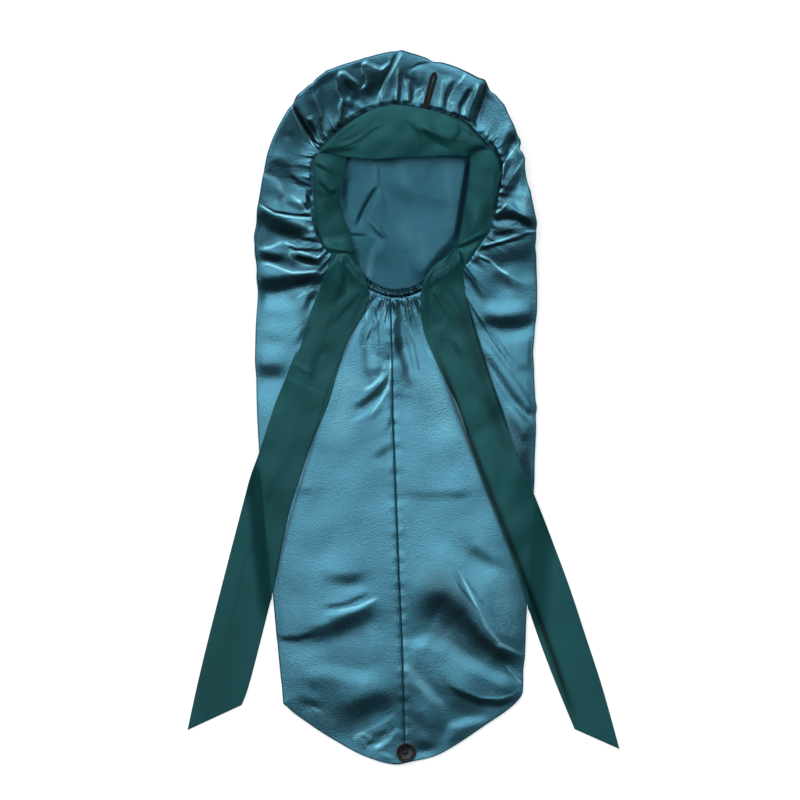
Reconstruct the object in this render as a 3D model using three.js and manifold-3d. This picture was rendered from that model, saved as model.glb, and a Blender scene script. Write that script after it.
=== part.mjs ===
// A long satin sleep bonnet for braids, lying on its back with the face opening up.
// Millimetres, +Z up, +Y towards the crown. Left and right are as seen from above.
import * as THREE from "three";
import { mergeVertices } from "three/addons/utils/BufferGeometryUtils.js";
import Module from "manifold-3d";

// Cloth
const SATIN_WALL = 1.2;
const BAND_WALL = 1.6;
const SEWN_GAP = 0.4;

// Grid of the satin body
const COLUMNS_PER_STATION = 4;
const FRONT_ROWS = [0, 0.04, 0.1, 0.18, 0.28, 0.39, 0.5, 0.61, 0.73, 0.86, 1];
const ROLL_ANGLES = [50, 5, -45, -90];

// Gathers along the seam
const PLEAT_RISE = 2.2;
const PLEAT_START = 4;
const PLEAT_REACH = 17;
const SEAM_RISE_LENGTH = 24;
const EDGE_RISE_LENGTH = 20;
const CENTRE_SEAM_DIP = 1.6;

// Ties, elastic, loop and button
const TIE_ROWS = 34;
const TIE_COLUMNS = 3;
const CELL = 1.5;
const DRAPE_SAMPLES = 4;
const DRAPE_ROUNDS = 4;
const DRAPE_EASE = 0.5;
const DRAPE_GAP = 0.7;
const NAPE_HALF_WIDTH = 4.4;
const NAPE_HALF_HEIGHT = 2.5;
const NAPE_RUFFLE = 0.7;
const NAPE_STEPS = 40;
const NAPE_SIDES = 6;
const LOOP_DIAMETER = 2.6;
const LOOP_STEPS = 22;
const LOOP_GAP = 0.3;
const BUTTON_RADIUS = 10;
const BUTTON_HEIGHT = 3.2;
const BUTTON_HOLE_RADIUS = 1.1;
const BUTTON_HOLE_OFFSET = 2;
const BUTTON_SEGMENTS = 28;
const BUTTON_CENTRE = [3, -344];

// One row for each section line, clockwise from the top. seam: where the satin is sewn to the
// band or the nape elastic. edge: the outline of the bonnet. band: the band's free inner edge.
const STATIONS = [
  { seam: [-4, 301], edge: [-6, 355], band: [-4, 248] },
  { seam: [19, 298], edge: [27, 346], band: [21, 250] },
  { seam: [42, 292], edge: [57, 334], band: [43, 250] },
  { seam: [61, 285], edge: [84, 318], band: [57, 250] },
  { seam: [75, 272], edge: [104, 294], band: [62, 249] },
  { seam: [89, 257], edge: [118, 258], band: [64, 247] },
  { seam: [95, 241], edge: [127, 226], band: [62, 237] },
  { seam: [92, 217], edge: [132, 184], band: [59, 214] },
  { seam: [88, 195], edge: [132, 143], band: [55, 192] },
  { seam: [85, 174], edge: [133, 101], band: [52, 172] },
  { seam: [72, 158], edge: [130, 47], band: [50, 161] },
  { seam: [60, 144], edge: [131, -20] },
  { seam: [43, 131], edge: [126, -150] },
  { seam: [36, 127], edge: [121, -210] },
  { seam: [24, 119], edge: [117, -283] },
  { seam: [17, 115], edge: [104, -303] },
  { seam: [9, 112], edge: [74, -325] },
  { seam: [1, 110], edge: [38, -345] },
  { seam: [-11, 109], edge: [3, -355] },
  { seam: [-20, 111], edge: [-20, -352] },
  { seam: [-28, 115], edge: [-60, -335] },
  { seam: [-35, 119], edge: [-94, -314] },
  { seam: [-41, 124], edge: [-118, -297] },
  { seam: [-46, 129], edge: [-124, -262] },
  { seam: [-51, 135], edge: [-129, -200] },
  { seam: [-62, 148], edge: [-143, -45] },
  { seam: [-71, 156], edge: [-147, 20], band: [-48, 155] },
  { seam: [-79, 164], edge: [-148, 72], band: [-51, 166] },
  { seam: [-86, 181], edge: [-147, 117], band: [-56, 184] },
  { seam: [-89, 202], edge: [-148, 160], band: [-63, 204] },
  { seam: [-90, 222], edge: [-145, 200], band: [-64, 222] },
  { seam: [-89, 240], edge: [-140, 235], band: [-59, 240] },
  { seam: [-83, 256], edge: [-128, 275], band: [-56, 246] },
  { seam: [-73, 269], edge: [-113, 305], band: [-52, 247] },
  { seam: [-56, 284], edge: [-82, 335], band: [-44, 247] },
  { seam: [-32, 297], edge: [-44, 350], band: [-26, 247] },
];
const CENTRE_SEAM_STATION = 18;

// Heights over the floor by distance up the bonnet. crest: top of the front layer. roll: radius
// of the folded outer edge. seam: height of the seam round the face opening.
const HEIGHTS = [
  { y: -355, crest: 9.5, roll: 3.2, seam: 12 },
  { y: -240, crest: 11.5, roll: 3.8, seam: 12 },
  { y: 60, crest: 13.5, roll: 4.6, seam: 12 },
  { y: 130, crest: 19, roll: 5.5, seam: 12 },
  { y: 230, crest: 27, roll: 7, seam: 15 },
  { y: 355, crest: 33, roll: 8, seam: 17 },
];

// Folds of the front layer. from, to: ends of the ridge. width: half its width. rise: its height,
// negative for a hollow.
const FOLDS = [
  { from: [-113, 302], to: [-84, 260], width: 7, rise: 7 },
  { from: [-96, 312], to: [-78, 270], width: 6, rise: -6 },
  { from: [-78, 330], to: [-64, 284], width: 8, rise: 5 },
  { from: [-44, 338], to: [-40, 302], width: 8, rise: -6 },
  { from: [-5, 350], to: [-25, 308], width: 7, rise: 6 },
  { from: [34, 334], to: [24, 306], width: 8, rise: 5 },
  { from: [60, 330], to: [48, 300], width: 7, rise: 4 },
  { from: [81, 322], to: [70, 284], width: 7, rise: -8 },
  { from: [92, 306], to: [80, 276], width: 9, rise: 6 },
  { from: [115, 262], to: [94, 225], width: 7, rise: 6 },
  { from: [124, 246], to: [94, 206], width: 7, rise: -5 },
  { from: [122, 184], to: [86, 166], width: 9, rise: 5 },
  { from: [76, 152], to: [116, 126], width: 10, rise: 4 },
  { from: [80, 85], to: [128, 84], width: 17, rise: -4 },
  { from: [62, 116], to: [126, -6], width: 13, rise: 3 },
  { from: [-144, 201], to: [-94, 190], width: 9, rise: 5 },
  { from: [-140, 178], to: [-96, 172], width: 10, rise: -5 },
  { from: [-142, 144], to: [-80, 136], width: 10, rise: 4 },
  { from: [-140, 116], to: [-84, 122], width: 12, rise: -4 },
  { from: [-146, 34], to: [-116, 28], width: 16, rise: -3 },
  { from: [-70, -60], to: [-20, -48], width: 14, rise: -2.5 },
  { from: [10, -84], to: [80, -90], width: 16, rise: -2.5 },
  { from: [-110, -214], to: [-50, -195], width: 16, rise: -3 },
  { from: [60, -160], to: [112, -246], width: 10, rise: 3 },
  { from: [12, -182], to: [78, -238], width: 18, rise: -3.5 },
  { from: [10, -262], to: [96, -288], width: 14, rise: -3 },
  { from: [-70, -300], to: [-20, -285], width: 16, rise: -2.5 },
];
const FOLD_END_FADE = 12;

// Both long edges of each tie, from the band's end down to the cut end.
const LEFT_TIE = [
  { inner: [-47, 153.5], outer: [-72, 154.2] },
  { inner: [-35, 122], outer: [-82, 120] },
  { inner: [-42, 89], outer: [-95, 91] },
  { inner: [-62, 49], outer: [-110, 50] },
  { inner: [-76, 3], outer: [-129, 2] },
  { inner: [-94, -45], outer: [-144, -43] },
  { inner: [-110, -93], outer: [-159, -93] },
  { inner: [-128, -170], outer: [-180, -170] },
  { inner: [-144, -234], outer: [-196, -233] },
  { inner: [-157, -284], outer: [-207, -284] },
  { inner: [-163, -299], outer: [-216.5, -323] },
];
const RIGHT_TIE = [
  { inner: [49, 159.5], outer: [70, 156.5] },
  { inner: [30, 134], outer: [58, 131] },
  { inner: [16, 108], outer: [62, 108] },
  { inner: [19, 79], outer: [72, 78] },
  { inner: [35, 37], outer: [84, 37] },
  { inner: [55, -8], outer: [100, -8] },
  { inner: [76, -65], outer: [121, -64] },
  { inner: [95, -116], outer: [142, -115] },
  { inner: [118, -180], outer: [167, -180] },
  { inner: [134, -227], outer: [186, -227] },
  { inner: [153, -281], outer: [203, -281] },
  { inner: [171, -322], outer: [216.5, -342] },
];

// Button loop: out from the seam, round the bend and back, in plan.
const LOOP_PATH = [
  [20, 299.8],
  [22, 307],
  [24.4, 315.7],
  [27, 324],
  [28.8, 329.6],
  [32.2, 332.4],
  [33.8, 328],
  [31.6, 321],
  [28.8, 313],
  [25.4, 304.5],
  [23.2, 298.6],
];

const COLOURS = { satin: 0x2f6f86, band: 0x1f5a57, elastic: 0x17191b, button: 0x101113 };

const wasm = await Module();
wasm.setup();

// Smooth step from 0 to 1 as x goes from 0 to 1.
const smooth = (x) => THREE.MathUtils.smoothstep(x, 0, 1);

// A column of the height table at a distance up the bonnet.
function heightAt(y, column) {
  const k = HEIGHTS.findIndex((row) => row.y > y);
  if (k === 0) return HEIGHTS[0][column];
  if (k < 0) return HEIGHTS.at(-1)[column];
  const [a, b] = [HEIGHTS[k - 1], HEIGHTS[k]];
  return THREE.MathUtils.lerp(a[column], b[column], (y - a.y) / (b.y - a.y));
}

// A smooth closed or open curve through plan points.
function planCurve(points, closed) {
  return new THREE.CatmullRomCurve3(
    points.map(([x, y]) => new THREE.Vector3(x, y, 0)),
    closed,
  );
}

// Distance from a plan point to a segment, and how far along it the nearest point is in mm.
function toSegment(x, y, [ax, ay], [bx, by]) {
  const length = Math.hypot(bx - ax, by - ay);
  const along = ((x - ax) * (bx - ax) + (y - ay) * (by - ay)) / length;
  const held = THREE.MathUtils.clamp(along, 0, length);
  const px = ax + ((bx - ax) * held) / length;
  const py = ay + ((by - ay) * held) / length;
  return { distance: Math.hypot(x - px, y - py), held, length };
}

// Sum of the folds at a plan point.
function foldRise(x, y) {
  return FOLDS.reduce((sum, { from, to, width, rise }) => {
    const { distance, held, length } = toSegment(x, y, from, to);
    const ends = 0.3 + 0.7 * smooth(Math.min(held, length - held) / FOLD_END_FADE);
    return sum + rise * ends * Math.exp(-((distance / width) ** 2));
  }, 0);
}

// A closed mesh from vertices and triangles, with flat shading.
function meshOf(name, vertices, triangles, material) {
  const geometry = new THREE.BufferGeometry()
    .setAttribute("position", new THREE.Float32BufferAttribute(vertices.flat(), 3))
    .setIndex(triangles.flat());
  geometry.computeVertexNormals();
  const mesh = new THREE.Mesh(geometry, material);
  mesh.name = name;
  return mesh;
}

// Triangles between two closed rings of equal length, given by their first indices.
function ringBand(first, second, count) {
  return Array.from({ length: count }, (_, i) => {
    const j = (i + 1) % count;
    return [first + i, first + j, second + j, first + i, second + j, second + i];
  });
}

const seamCurve = planCurve(STATIONS.map((s) => s.seam), true);
const edgeCurve = planCurve(STATIONS.map((s) => s.edge), true);
const COLUMNS = STATIONS.length * COLUMNS_PER_STATION;

// The section line of one column: its seam point, outline point and inward direction.
function sectionLine(column) {
  const u = column / COLUMNS;
  const seam = seamCurve.getPoint(u);
  const edge = edgeCurve.getPoint(u);
  const tangent = edgeCurve.getPoint((u + 0.001) % 1).sub(edgeCurve.getPoint((u + 0.999) % 1));
  const inward = new THREE.Vector3(tangent.y, -tangent.x, 0).normalize();
  return { column, seam, edge, inward };
}

// Height of the front layer's upper face on a section line, away mm from the seam.
function frontHeight({ column, seam, edge }, point, away, toEdge) {
  const crest = heightAt(point.y, "crest");
  const roll = heightAt(edge.y, "roll");
  const seamHeight = heightAt(seam.y, "seam");
  const fromSeam = smooth(away / SEAM_RISE_LENGTH);
  const near = Math.min(toEdge / EDGE_RISE_LENGTH, 1);
  const fromEdge = Math.sqrt(1 - (1 - near) ** 2);
  const level = seamHeight + (crest - seamHeight) * fromSeam;
  const pleat = (away / PLEAT_START) * Math.exp(1 - away / PLEAT_START) +
    Math.exp(-away / PLEAT_REACH) * smooth(away / PLEAT_START);
  const wave = Math.cos((2 * Math.PI * column) / COLUMNS_PER_STATION);
  const onSeam = column === CENTRE_SEAM_STATION * COLUMNS_PER_STATION ? CENTRE_SEAM_DIP : 0;
  const detail = (foldRise(point.x, point.y) * fromSeam - onSeam * fromSeam) * fromEdge;
  return 2 * roll + (level - 2 * roll) * fromEdge + detail + PLEAT_RISE * pleat * wave * 0.6;
}

// One skin of the bag, as rings of points from the seam round the outline to the back.
// inset is 0 for the outer skin and the wall for the inner one.
function bagRings(lines, inset) {
  const rings = FRONT_ROWS.map((share) =>
    lines.map((line) => {
      const roll = heightAt(line.edge.y, "roll");
      const edge = line.edge.clone().addScaledVector(line.inward, roll);
      const point = line.seam.clone().lerp(edge, share);
      const away = point.distanceTo(line.seam);
      const height = frontHeight(line, point, away, point.distanceTo(edge));
      return [point.x, point.y, height - inset];
    }),
  );
  for (const degrees of ROLL_ANGLES) {
    const angle = THREE.MathUtils.degToRad(degrees);
    rings.push(
      lines.map((line) => {
        const roll = heightAt(line.edge.y, "roll");
        const radius = roll - inset;
        const point = line.edge.clone();
        point.addScaledVector(line.inward, roll - radius * Math.cos(angle));
        return [point.x, point.y, roll + radius * Math.sin(angle)];
      }),
    );
  }
  return rings;
}

// The satin bag: front layer with the face opening, folded outer edge and flat back layer.
function satinBody(material) {
  const lines = Array.from({ length: COLUMNS }, (_, column) => sectionLine(column));
  const outer = bagRings(lines, 0);
  const inner = bagRings(lines, SATIN_WALL);
  const vertices = [...outer, ...inner].flat();
  const innerStart = outer.length * COLUMNS;
  const triangles = [];
  for (let ring = 0; ring + 1 < outer.length; ring += 1) {
    const here = ring * COLUMNS;
    const next = here + COLUMNS;
    triangles.push(...ringBand(here, next, COLUMNS));
    triangles.push(...ringBand(innerStart + next, innerStart + here, COLUMNS));
  }
  triangles.push(...ringBand(innerStart, 0, COLUMNS));
  const lastOuter = innerStart - COLUMNS;
  const lastInner = innerStart + lastOuter;
  const contour = outer.at(-1).map(([x, y]) => new THREE.Vector2(x, y));
  for (const [a, b, c] of THREE.ShapeUtils.triangulateShape(contour, [])) {
    triangles.push([lastOuter + c, lastOuter + b, lastOuter + a]);
    triangles.push([lastInner + a, lastInner + b, lastInner + c]);
  }
  return meshOf("satin_body", vertices, triangles, material);
}

// A sheet of cloth from rows of points on its upper face, closed by a lower face and four sides.
function clothSheet(name, rows, wall, material) {
  const [count, width] = [rows.length, rows[0].length];
  const upper = rows.flat();
  const vertices = [...upper, ...upper.map(([x, y, z]) => [x, y, z - wall])];
  const low = upper.length;
  const at = (row, column) => row * width + column;
  const triangles = [];
  const quad = (a, b, c, d) => triangles.push([a, b, c, a, c, d]);
  for (let r = 0; r + 1 < count; r += 1) {
    for (let c = 0; c + 1 < width; c += 1) {
      quad(at(r, c), at(r + 1, c), at(r + 1, c + 1), at(r, c + 1));
      quad(low + at(r, c), low + at(r, c + 1), low + at(r + 1, c + 1), low + at(r + 1, c));
    }
    quad(at(r, 0), low + at(r, 0), low + at(r + 1, 0), at(r + 1, 0));
    const last = width - 1;
    quad(at(r + 1, last), low + at(r + 1, last), low + at(r, last), at(r, last));
  }
  for (let c = 0; c + 1 < width; c += 1) {
    quad(at(0, c + 1), low + at(0, c + 1), low + at(0, c), at(0, c));
    const last = count - 1;
    quad(at(last, c), low + at(last, c), low + at(last, c + 1), at(last, c + 1));
  }
  return meshOf(name, vertices, triangles, material);
}

// The wide band round the top and sides of the face opening.
function headband(material) {
  const count = STATIONS.length;
  const first = STATIONS.findIndex((s, k) => s.band && !STATIONS[(k + count - 1) % count].band);
  const last = STATIONS.findIndex((s, k) => s.band && !STATIONS[(k + 1) % count].band);
  const spans = count - first + last;
  const innerPoints = Array.from(
    { length: spans + 1 },
    (_, k) => STATIONS[(first + k) % count].band,
  );
  const innerCurve = planCurve(innerPoints, false);
  const steps = spans * 2;
  const rows = Array.from({ length: steps + 1 }, (_, k) => {
    const seam = seamCurve.getPoint(((first + k / 2) / count) % 1);
    const free = innerCurve.getPoint(k / steps);
    const across = free.clone().sub(seam);
    const start = SEWN_GAP / across.length();
    const seamHeight = heightAt(seam.y, "seam");
    return [start, 0.35, 0.7, 1].map((share) => {
      const point = seam.clone().addScaledVector(across, share);
      const crown = 2.4 * Math.sin(Math.PI * Math.min(share, 1));
      return [point.x, point.y, seamHeight - 3.2 * share + crown];
    });
  });
  return clothSheet("headband", rows.reverse(), BAND_WALL, material);
}

// Gathered casing of the nape elastic, a ruffled tube just inside the nape seam.
function napeElastic(material) {
  const count = STATIONS.length;
  const from = STATIONS.findIndex((s) => !s.band);
  const to = STATIONS.findLastIndex((s) => !s.band);
  const rings = Array.from({ length: NAPE_STEPS + 1 }, (_, k) => {
    const u = THREE.MathUtils.lerp(from, to, k / NAPE_STEPS) / count;
    const seam = seamCurve.getPoint(u);
    const tangent = seamCurve.getTangent(u);
    const inward = new THREE.Vector3(tangent.y, -tangent.x, 0).normalize();
    const ruffle = NAPE_RUFFLE * Math.sin(k * 2.1);
    const height = heightAt(seam.y, "seam") - SATIN_WALL / 2;
    const halfWidth = NAPE_HALF_WIDTH + ruffle;
    const centre = seam.clone().addScaledVector(inward, NAPE_HALF_WIDTH + NAPE_RUFFLE + SEWN_GAP);
    return Array.from({ length: NAPE_SIDES }, (_, side) => {
      const angle = (2 * Math.PI * side) / NAPE_SIDES;
      const point = centre.clone().addScaledVector(inward, halfWidth * Math.cos(angle));
      return [point.x, point.y, height + (NAPE_HALF_HEIGHT + ruffle / 2) * Math.sin(angle)];
    });
  });
  const vertices = rings.flat();
  const triangles = [];
  for (let k = 0; k < NAPE_STEPS; k += 1) {
    triangles.push(...ringBand((k + 1) * NAPE_SIDES, k * NAPE_SIDES, NAPE_SIDES));
  }
  const lastRing = NAPE_STEPS * NAPE_SIDES;
  for (let side = 1; side + 1 < NAPE_SIDES; side += 1) {
    triangles.push([0, side, side + 1]);
    triangles.push([lastRing, lastRing + side + 1, lastRing + side]);
  }
  return meshOf("nape_elastic", vertices, triangles, material);
}

// Cell of the plan grid that a point falls in.
const cellOf = (x, y) => `${Math.round(x / CELL)},${Math.round(y / CELL)}`;

// The highest point of some meshes in each cell of the plan grid.
function heightField(meshes) {
  const field = new Map();
  const [a, b, c, point] = Array.from({ length: 4 }, () => new THREE.Vector3());
  for (const { geometry } of meshes) {
    const corners = geometry.getAttribute("position");
    const index = geometry.index.array;
    for (let k = 0; k < index.length; k += 3) {
      [a, b, c].forEach((corner, n) => corner.fromBufferAttribute(corners, index[k + n]));
      // The back layer carries nothing.
      if (Math.max(a.z, b.z, c.z) < 2 * SATIN_WALL) continue;
      const longest = Math.max(a.distanceTo(b), b.distanceTo(c), c.distanceTo(a));
      const parts = Math.ceil((2 * longest) / CELL);
      for (let i = 0; i <= parts; i += 1) {
        for (let j = 0; i + j <= parts; j += 1) {
          point.copy(a).multiplyScalar((parts - i - j) / parts);
          point.addScaledVector(b, i / parts).addScaledVector(c, j / parts);
          const cell = cellOf(point.x, point.y);
          field.set(cell, Math.max(field.get(cell) ?? 0, point.z));
        }
      }
    }
  }
  return field;
}

// The highest point within reach of a plan point, or 0 where only the floor is there.
function supportHeight(x, y, field, reach) {
  let top = 0;
  for (let dx = -reach; dx <= reach; dx += CELL) {
    for (let dy = -reach; dy <= reach; dy += CELL) {
      top = Math.max(top, field.get(cellOf(x + dx, y + dy)) ?? 0);
    }
  }
  return top;
}

// Height of a tie's upper face between four of its vertices.
function stripHeight(rows, row, column) {
  const r = Math.min(Math.floor(row), TIE_ROWS - 1);
  const c = Math.min(Math.floor(column), TIE_COLUMNS - 1);
  const near = THREE.MathUtils.lerp(rows[r][c][2], rows[r][c + 1][2], column - c);
  const far = THREE.MathUtils.lerp(rows[r + 1][c][2], rows[r + 1][c + 1][2], column - c);
  return THREE.MathUtils.lerp(near, far, row - r);
}

// A tie: a strip laid over the carriers. Each vertex starts above all that is near it and is
// then let down until some part of the strip beside it would touch.
function tie(name, edges, field, material) {
  const inner = planCurve(edges.map((e) => e.inner), false);
  const outer = planCurve(edges.map((e) => e.outer), false);
  const place = (r, c) =>
    inner.getPoint(r / TIE_ROWS).lerp(outer.getPoint(r / TIE_ROWS), c / TIE_COLUMNS);
  const samples = [];
  for (let r = 0; r <= TIE_ROWS * DRAPE_SAMPLES; r += 1) {
    for (let c = 0; c <= TIE_COLUMNS * DRAPE_SAMPLES; c += 1) {
      const [row, column] = [r / DRAPE_SAMPLES, c / DRAPE_SAMPLES];
      const point = place(row, column);
      const under = supportHeight(point.x, point.y, field, 2 * CELL);
      samples.push({ row, column, need: under + (under > 0 ? DRAPE_GAP : 0) + BAND_WALL });
    }
  }
  const nearby = (r, c) =>
    samples.filter(({ row, column }) => Math.abs(row - r) < 1 && Math.abs(column - c) < 1);
  const rows = Array.from({ length: TIE_ROWS + 1 }, (_, r) =>
    Array.from({ length: TIE_COLUMNS + 1 }, (_, c) => {
      const point = place(r, c);
      return [point.x, point.y, Math.max(...nearby(r, c).map(({ need }) => need))];
    }),
  );
  for (let round = 0; round < DRAPE_ROUNDS; round += 1) {
    rows.forEach((line, r) =>
      line.forEach((vertex, c) => {
        const slack = nearby(r, c).map(({ row, column, need }) => {
          const share = (1 - Math.abs(row - r)) * (1 - Math.abs(column - c));
          return (stripHeight(rows, row, column) - need) / share;
        });
        vertex[2] -= DRAPE_EASE * Math.max(0, Math.min(...slack));
      }),
    );
  }
  const facing = name === "tie_right" ? rows : rows.map((line) => [...line].reverse());
  return clothSheet(name, facing, BAND_WALL, material);
}

// Elastic cord loop for the button, resting on the gathers above the band.
function buttonLoop(field, material) {
  const radius = LOOP_DIAMETER / 2;
  const points = LOOP_PATH.map(([x, y]) => {
    const under = supportHeight(x, y, field, CELL);
    return new THREE.Vector3(x, y, under + radius + LOOP_GAP);
  });
  const section = new THREE.Shape(
    Array.from({ length: 8 }, (_, k) => {
      const angle = (2 * Math.PI * k) / 8;
      return new THREE.Vector2(radius * Math.cos(angle), radius * Math.sin(angle));
    }),
  );
  const geometry = new THREE.ExtrudeGeometry(section, {
    steps: LOOP_STEPS,
    extrudePath: new THREE.CatmullRomCurve3(points),
  });
  const mesh = new THREE.Mesh(geometry, material);
  mesh.name = "button_loop";
  return mesh;
}

// A three.js geometry as a manifold-3d solid.
function solidOf(geometry) {
  const bare = geometry.clone();
  bare.deleteAttribute("normal");
  bare.deleteAttribute("uv");
  const merged = mergeVertices(bare, 1e-4);
  return new wasm.Manifold(
    new wasm.Mesh({
      numProp: 3,
      vertProperties: merged.attributes.position.array,
      triVerts: new Uint32Array(merged.index.array),
    }),
  );
}

// Round button with a raised rim, a sunken face and four sewing holes.
function button(field, material) {
  const profile = [
    [0, 0],
    [BUTTON_RADIUS - 2, 0],
    [BUTTON_RADIUS - 0.4, 0.8],
    [BUTTON_RADIUS, 1.7],
    [BUTTON_RADIUS - 0.5, BUTTON_HEIGHT - 0.4],
    [BUTTON_RADIUS - 1.3, BUTTON_HEIGHT],
    [BUTTON_RADIUS - 2.4, BUTTON_HEIGHT - 0.3],
    [BUTTON_RADIUS - 3.2, BUTTON_HEIGHT - 1.1],
    [0, BUTTON_HEIGHT - 1.3],
  ].map(([r, z]) => new THREE.Vector2(r, z));
  let solid = solidOf(new THREE.LatheGeometry(profile, BUTTON_SEGMENTS).rotateX(Math.PI / 2));
  for (const [sx, sy] of [[1, 1], [1, -1], [-1, 1], [-1, -1]]) {
    const drill = new THREE.CylinderGeometry(
      BUTTON_HOLE_RADIUS,
      BUTTON_HOLE_RADIUS,
      4 * BUTTON_HEIGHT,
      10,
    );
    drill.rotateX(Math.PI / 2);
    drill.translate(sx * BUTTON_HOLE_OFFSET, sy * BUTTON_HOLE_OFFSET, 0);
    solid = solid.subtract(solidOf(drill));
  }
  const cut = solid.getMesh();
  const geometry = new THREE.BufferGeometry()
    .setAttribute("position", new THREE.BufferAttribute(cut.vertProperties, 3))
    .setIndex(new THREE.BufferAttribute(cut.triVerts, 1));
  geometry.computeVertexNormals();
  const mesh = new THREE.Mesh(geometry, material);
  mesh.name = "button";
  const [x, y] = BUTTON_CENTRE;
  mesh.position.set(x, y, supportHeight(x, y, field, BUTTON_RADIUS) + SEWN_GAP);
  mesh.updateMatrixWorld();
  return mesh;
}

const satin = new THREE.MeshStandardMaterial({
  color: COLOURS.satin,
  roughness: 0.35,
  metalness: 0.3,
});
const bandCloth = new THREE.MeshStandardMaterial({
  color: COLOURS.band,
  roughness: 0.75,
  metalness: 0,
});
const elastic = new THREE.MeshStandardMaterial({
  color: COLOURS.elastic,
  roughness: 0.9,
  metalness: 0,
});
const plastic = new THREE.MeshStandardMaterial({
  color: COLOURS.button,
  roughness: 0.25,
  metalness: 0,
});

const body = satinBody(satin);
const nape = napeElastic(satin);
const band = headband(bandCloth);
const onBody = heightField([body, nape]);
const bonnet = new THREE.Group();
bonnet.name = "sleep_bonnet";
bonnet.add(
  body,
  nape,
  band,
  tie("tie_left", LEFT_TIE, onBody, bandCloth),
  tie("tie_right", RIGHT_TIE, onBody, bandCloth),
  buttonLoop(onBody, elastic),
  button(onBody, plastic),
);

export default bonnet;
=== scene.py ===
"""A long satin sleep bonnet for braids, lying on its back with the face opening up.

Plan points are measured right and down from the corner of an 800 mm square, and become the row
frame's X and Y.
"""

from __future__ import annotations

import logging
import math
from dataclasses import dataclass, field
from enum import Enum
from typing import Any

import bmesh
import bpy
import numpy as np
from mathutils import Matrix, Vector
from mathutils.bvhtree import BVHTree

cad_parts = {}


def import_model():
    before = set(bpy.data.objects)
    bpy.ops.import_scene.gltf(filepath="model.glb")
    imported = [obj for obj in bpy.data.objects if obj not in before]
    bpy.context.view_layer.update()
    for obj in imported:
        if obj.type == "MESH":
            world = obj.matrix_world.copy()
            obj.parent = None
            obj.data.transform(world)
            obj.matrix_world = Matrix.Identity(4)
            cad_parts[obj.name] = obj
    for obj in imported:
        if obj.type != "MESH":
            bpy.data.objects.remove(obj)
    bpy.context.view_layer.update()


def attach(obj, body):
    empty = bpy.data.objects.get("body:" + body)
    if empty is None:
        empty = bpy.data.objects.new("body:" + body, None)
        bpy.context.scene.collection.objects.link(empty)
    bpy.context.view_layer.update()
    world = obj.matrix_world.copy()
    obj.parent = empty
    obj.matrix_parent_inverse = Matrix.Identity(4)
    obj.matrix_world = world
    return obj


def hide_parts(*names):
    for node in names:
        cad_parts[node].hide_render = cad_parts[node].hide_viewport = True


LOG = logging.getLogger("bonnet")

MM = 0.001
PLAN_MIDDLE = (404.0, 407.0)
FLOOR_GAP = 0.15

# The plan direction towards the light.

LIT_SIDE = (-0.36, 0.933)

# A lean's reach in half-widths, how square its profile is, how far along it the direction is read,
# and how soon a line that runs towards the light loses its tilt.

LEAN_REACH = 2.2
LEAN_SQUARENESS = 2.4
LEAN_STEP = 2.0
LEAN_TURN = 0.12

# A painted shading stroke's squareness, and its fade at each end as shares of its length and its half-width.

TONE_SQUARENESS = 1.8
TONE_LONGEST_FADE = 0.5
TONE_FADE = 0.15
TONE_ROUND_END = 1.6

Line = tuple[tuple[float, float], ...]
Pairs = tuple[tuple[float, float], ...]
Rows = tuple[tuple[float, ...], ...]
Colour = tuple[float, float, float]


class Facing(Enum):
    """Which way a grid of points turns its faces."""

    AS_BUILT = 0
    TURNED = 1


# Plan geometry


def row_xy(points: Line | list[tuple[float, float]]) -> np.ndarray:
    """Plan points as X and Y of the row frame.

    Args:
        points: Pairs measured right and down on the plan.

    Returns:
        An array of X, Y rows.
    """
    plan = np.asarray(points, dtype=float)
    return np.stack([plan[:, 0] - PLAN_MIDDLE[0], PLAN_MIDDLE[1] - plan[:, 1]], axis=1)


def smooth(value: np.ndarray | float) -> np.ndarray:
    """A smooth step from 0 to 1 as value goes from 0 to 1."""
    held = np.clip(value, 0.0, 1.0)
    return held * held * (3.0 - 2.0 * held)


def unit(vectors: np.ndarray) -> np.ndarray:
    """The vectors of a list, each made one long."""
    return vectors / np.linalg.norm(vectors, axis=1)[:, None]


def run_along(line: np.ndarray) -> np.ndarray:
    """How far along a line each of its points lies."""
    return np.concatenate([[0.0], np.cumsum(np.linalg.norm(np.diff(line, axis=0), axis=1))])


def full_turn(count: int) -> np.ndarray:
    """Evenly spaced angles round a circle."""
    return np.linspace(0.0, 2.0 * math.pi, count, endpoint=False)


def spline(points: np.ndarray, where: np.ndarray, closed: bool) -> np.ndarray:
    """Points on a smooth curve through a list of points.

    Args:
        points: The points to pass through, one per row.
        where: Places on the curve, counted in points from the first.
        closed: Whether the last point joins the first.

    Returns:
        One row per place.
    """
    count = len(points)
    base = np.floor(where).astype(int)
    if not closed:
        base = np.clip(base, 0, count - 2)
    share = (where - base)[:, None]

    def at(index: np.ndarray) -> np.ndarray:
        """The points at these indices, wrapped or held at the ends."""
        if closed:
            return points[index % count]
        return points[np.clip(index, 0, count - 1)]

    p0, p1, p2, p3 = at(base - 1), at(base), at(base + 1), at(base + 2)
    return 0.5 * (
        2.0 * p1
        + (p2 - p0) * share
        + (2.0 * p0 - 5.0 * p1 + 4.0 * p2 - p3) * share**2
        + (3.0 * p1 - p0 - 3.0 * p2 + p3) * share**3
    )


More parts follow.
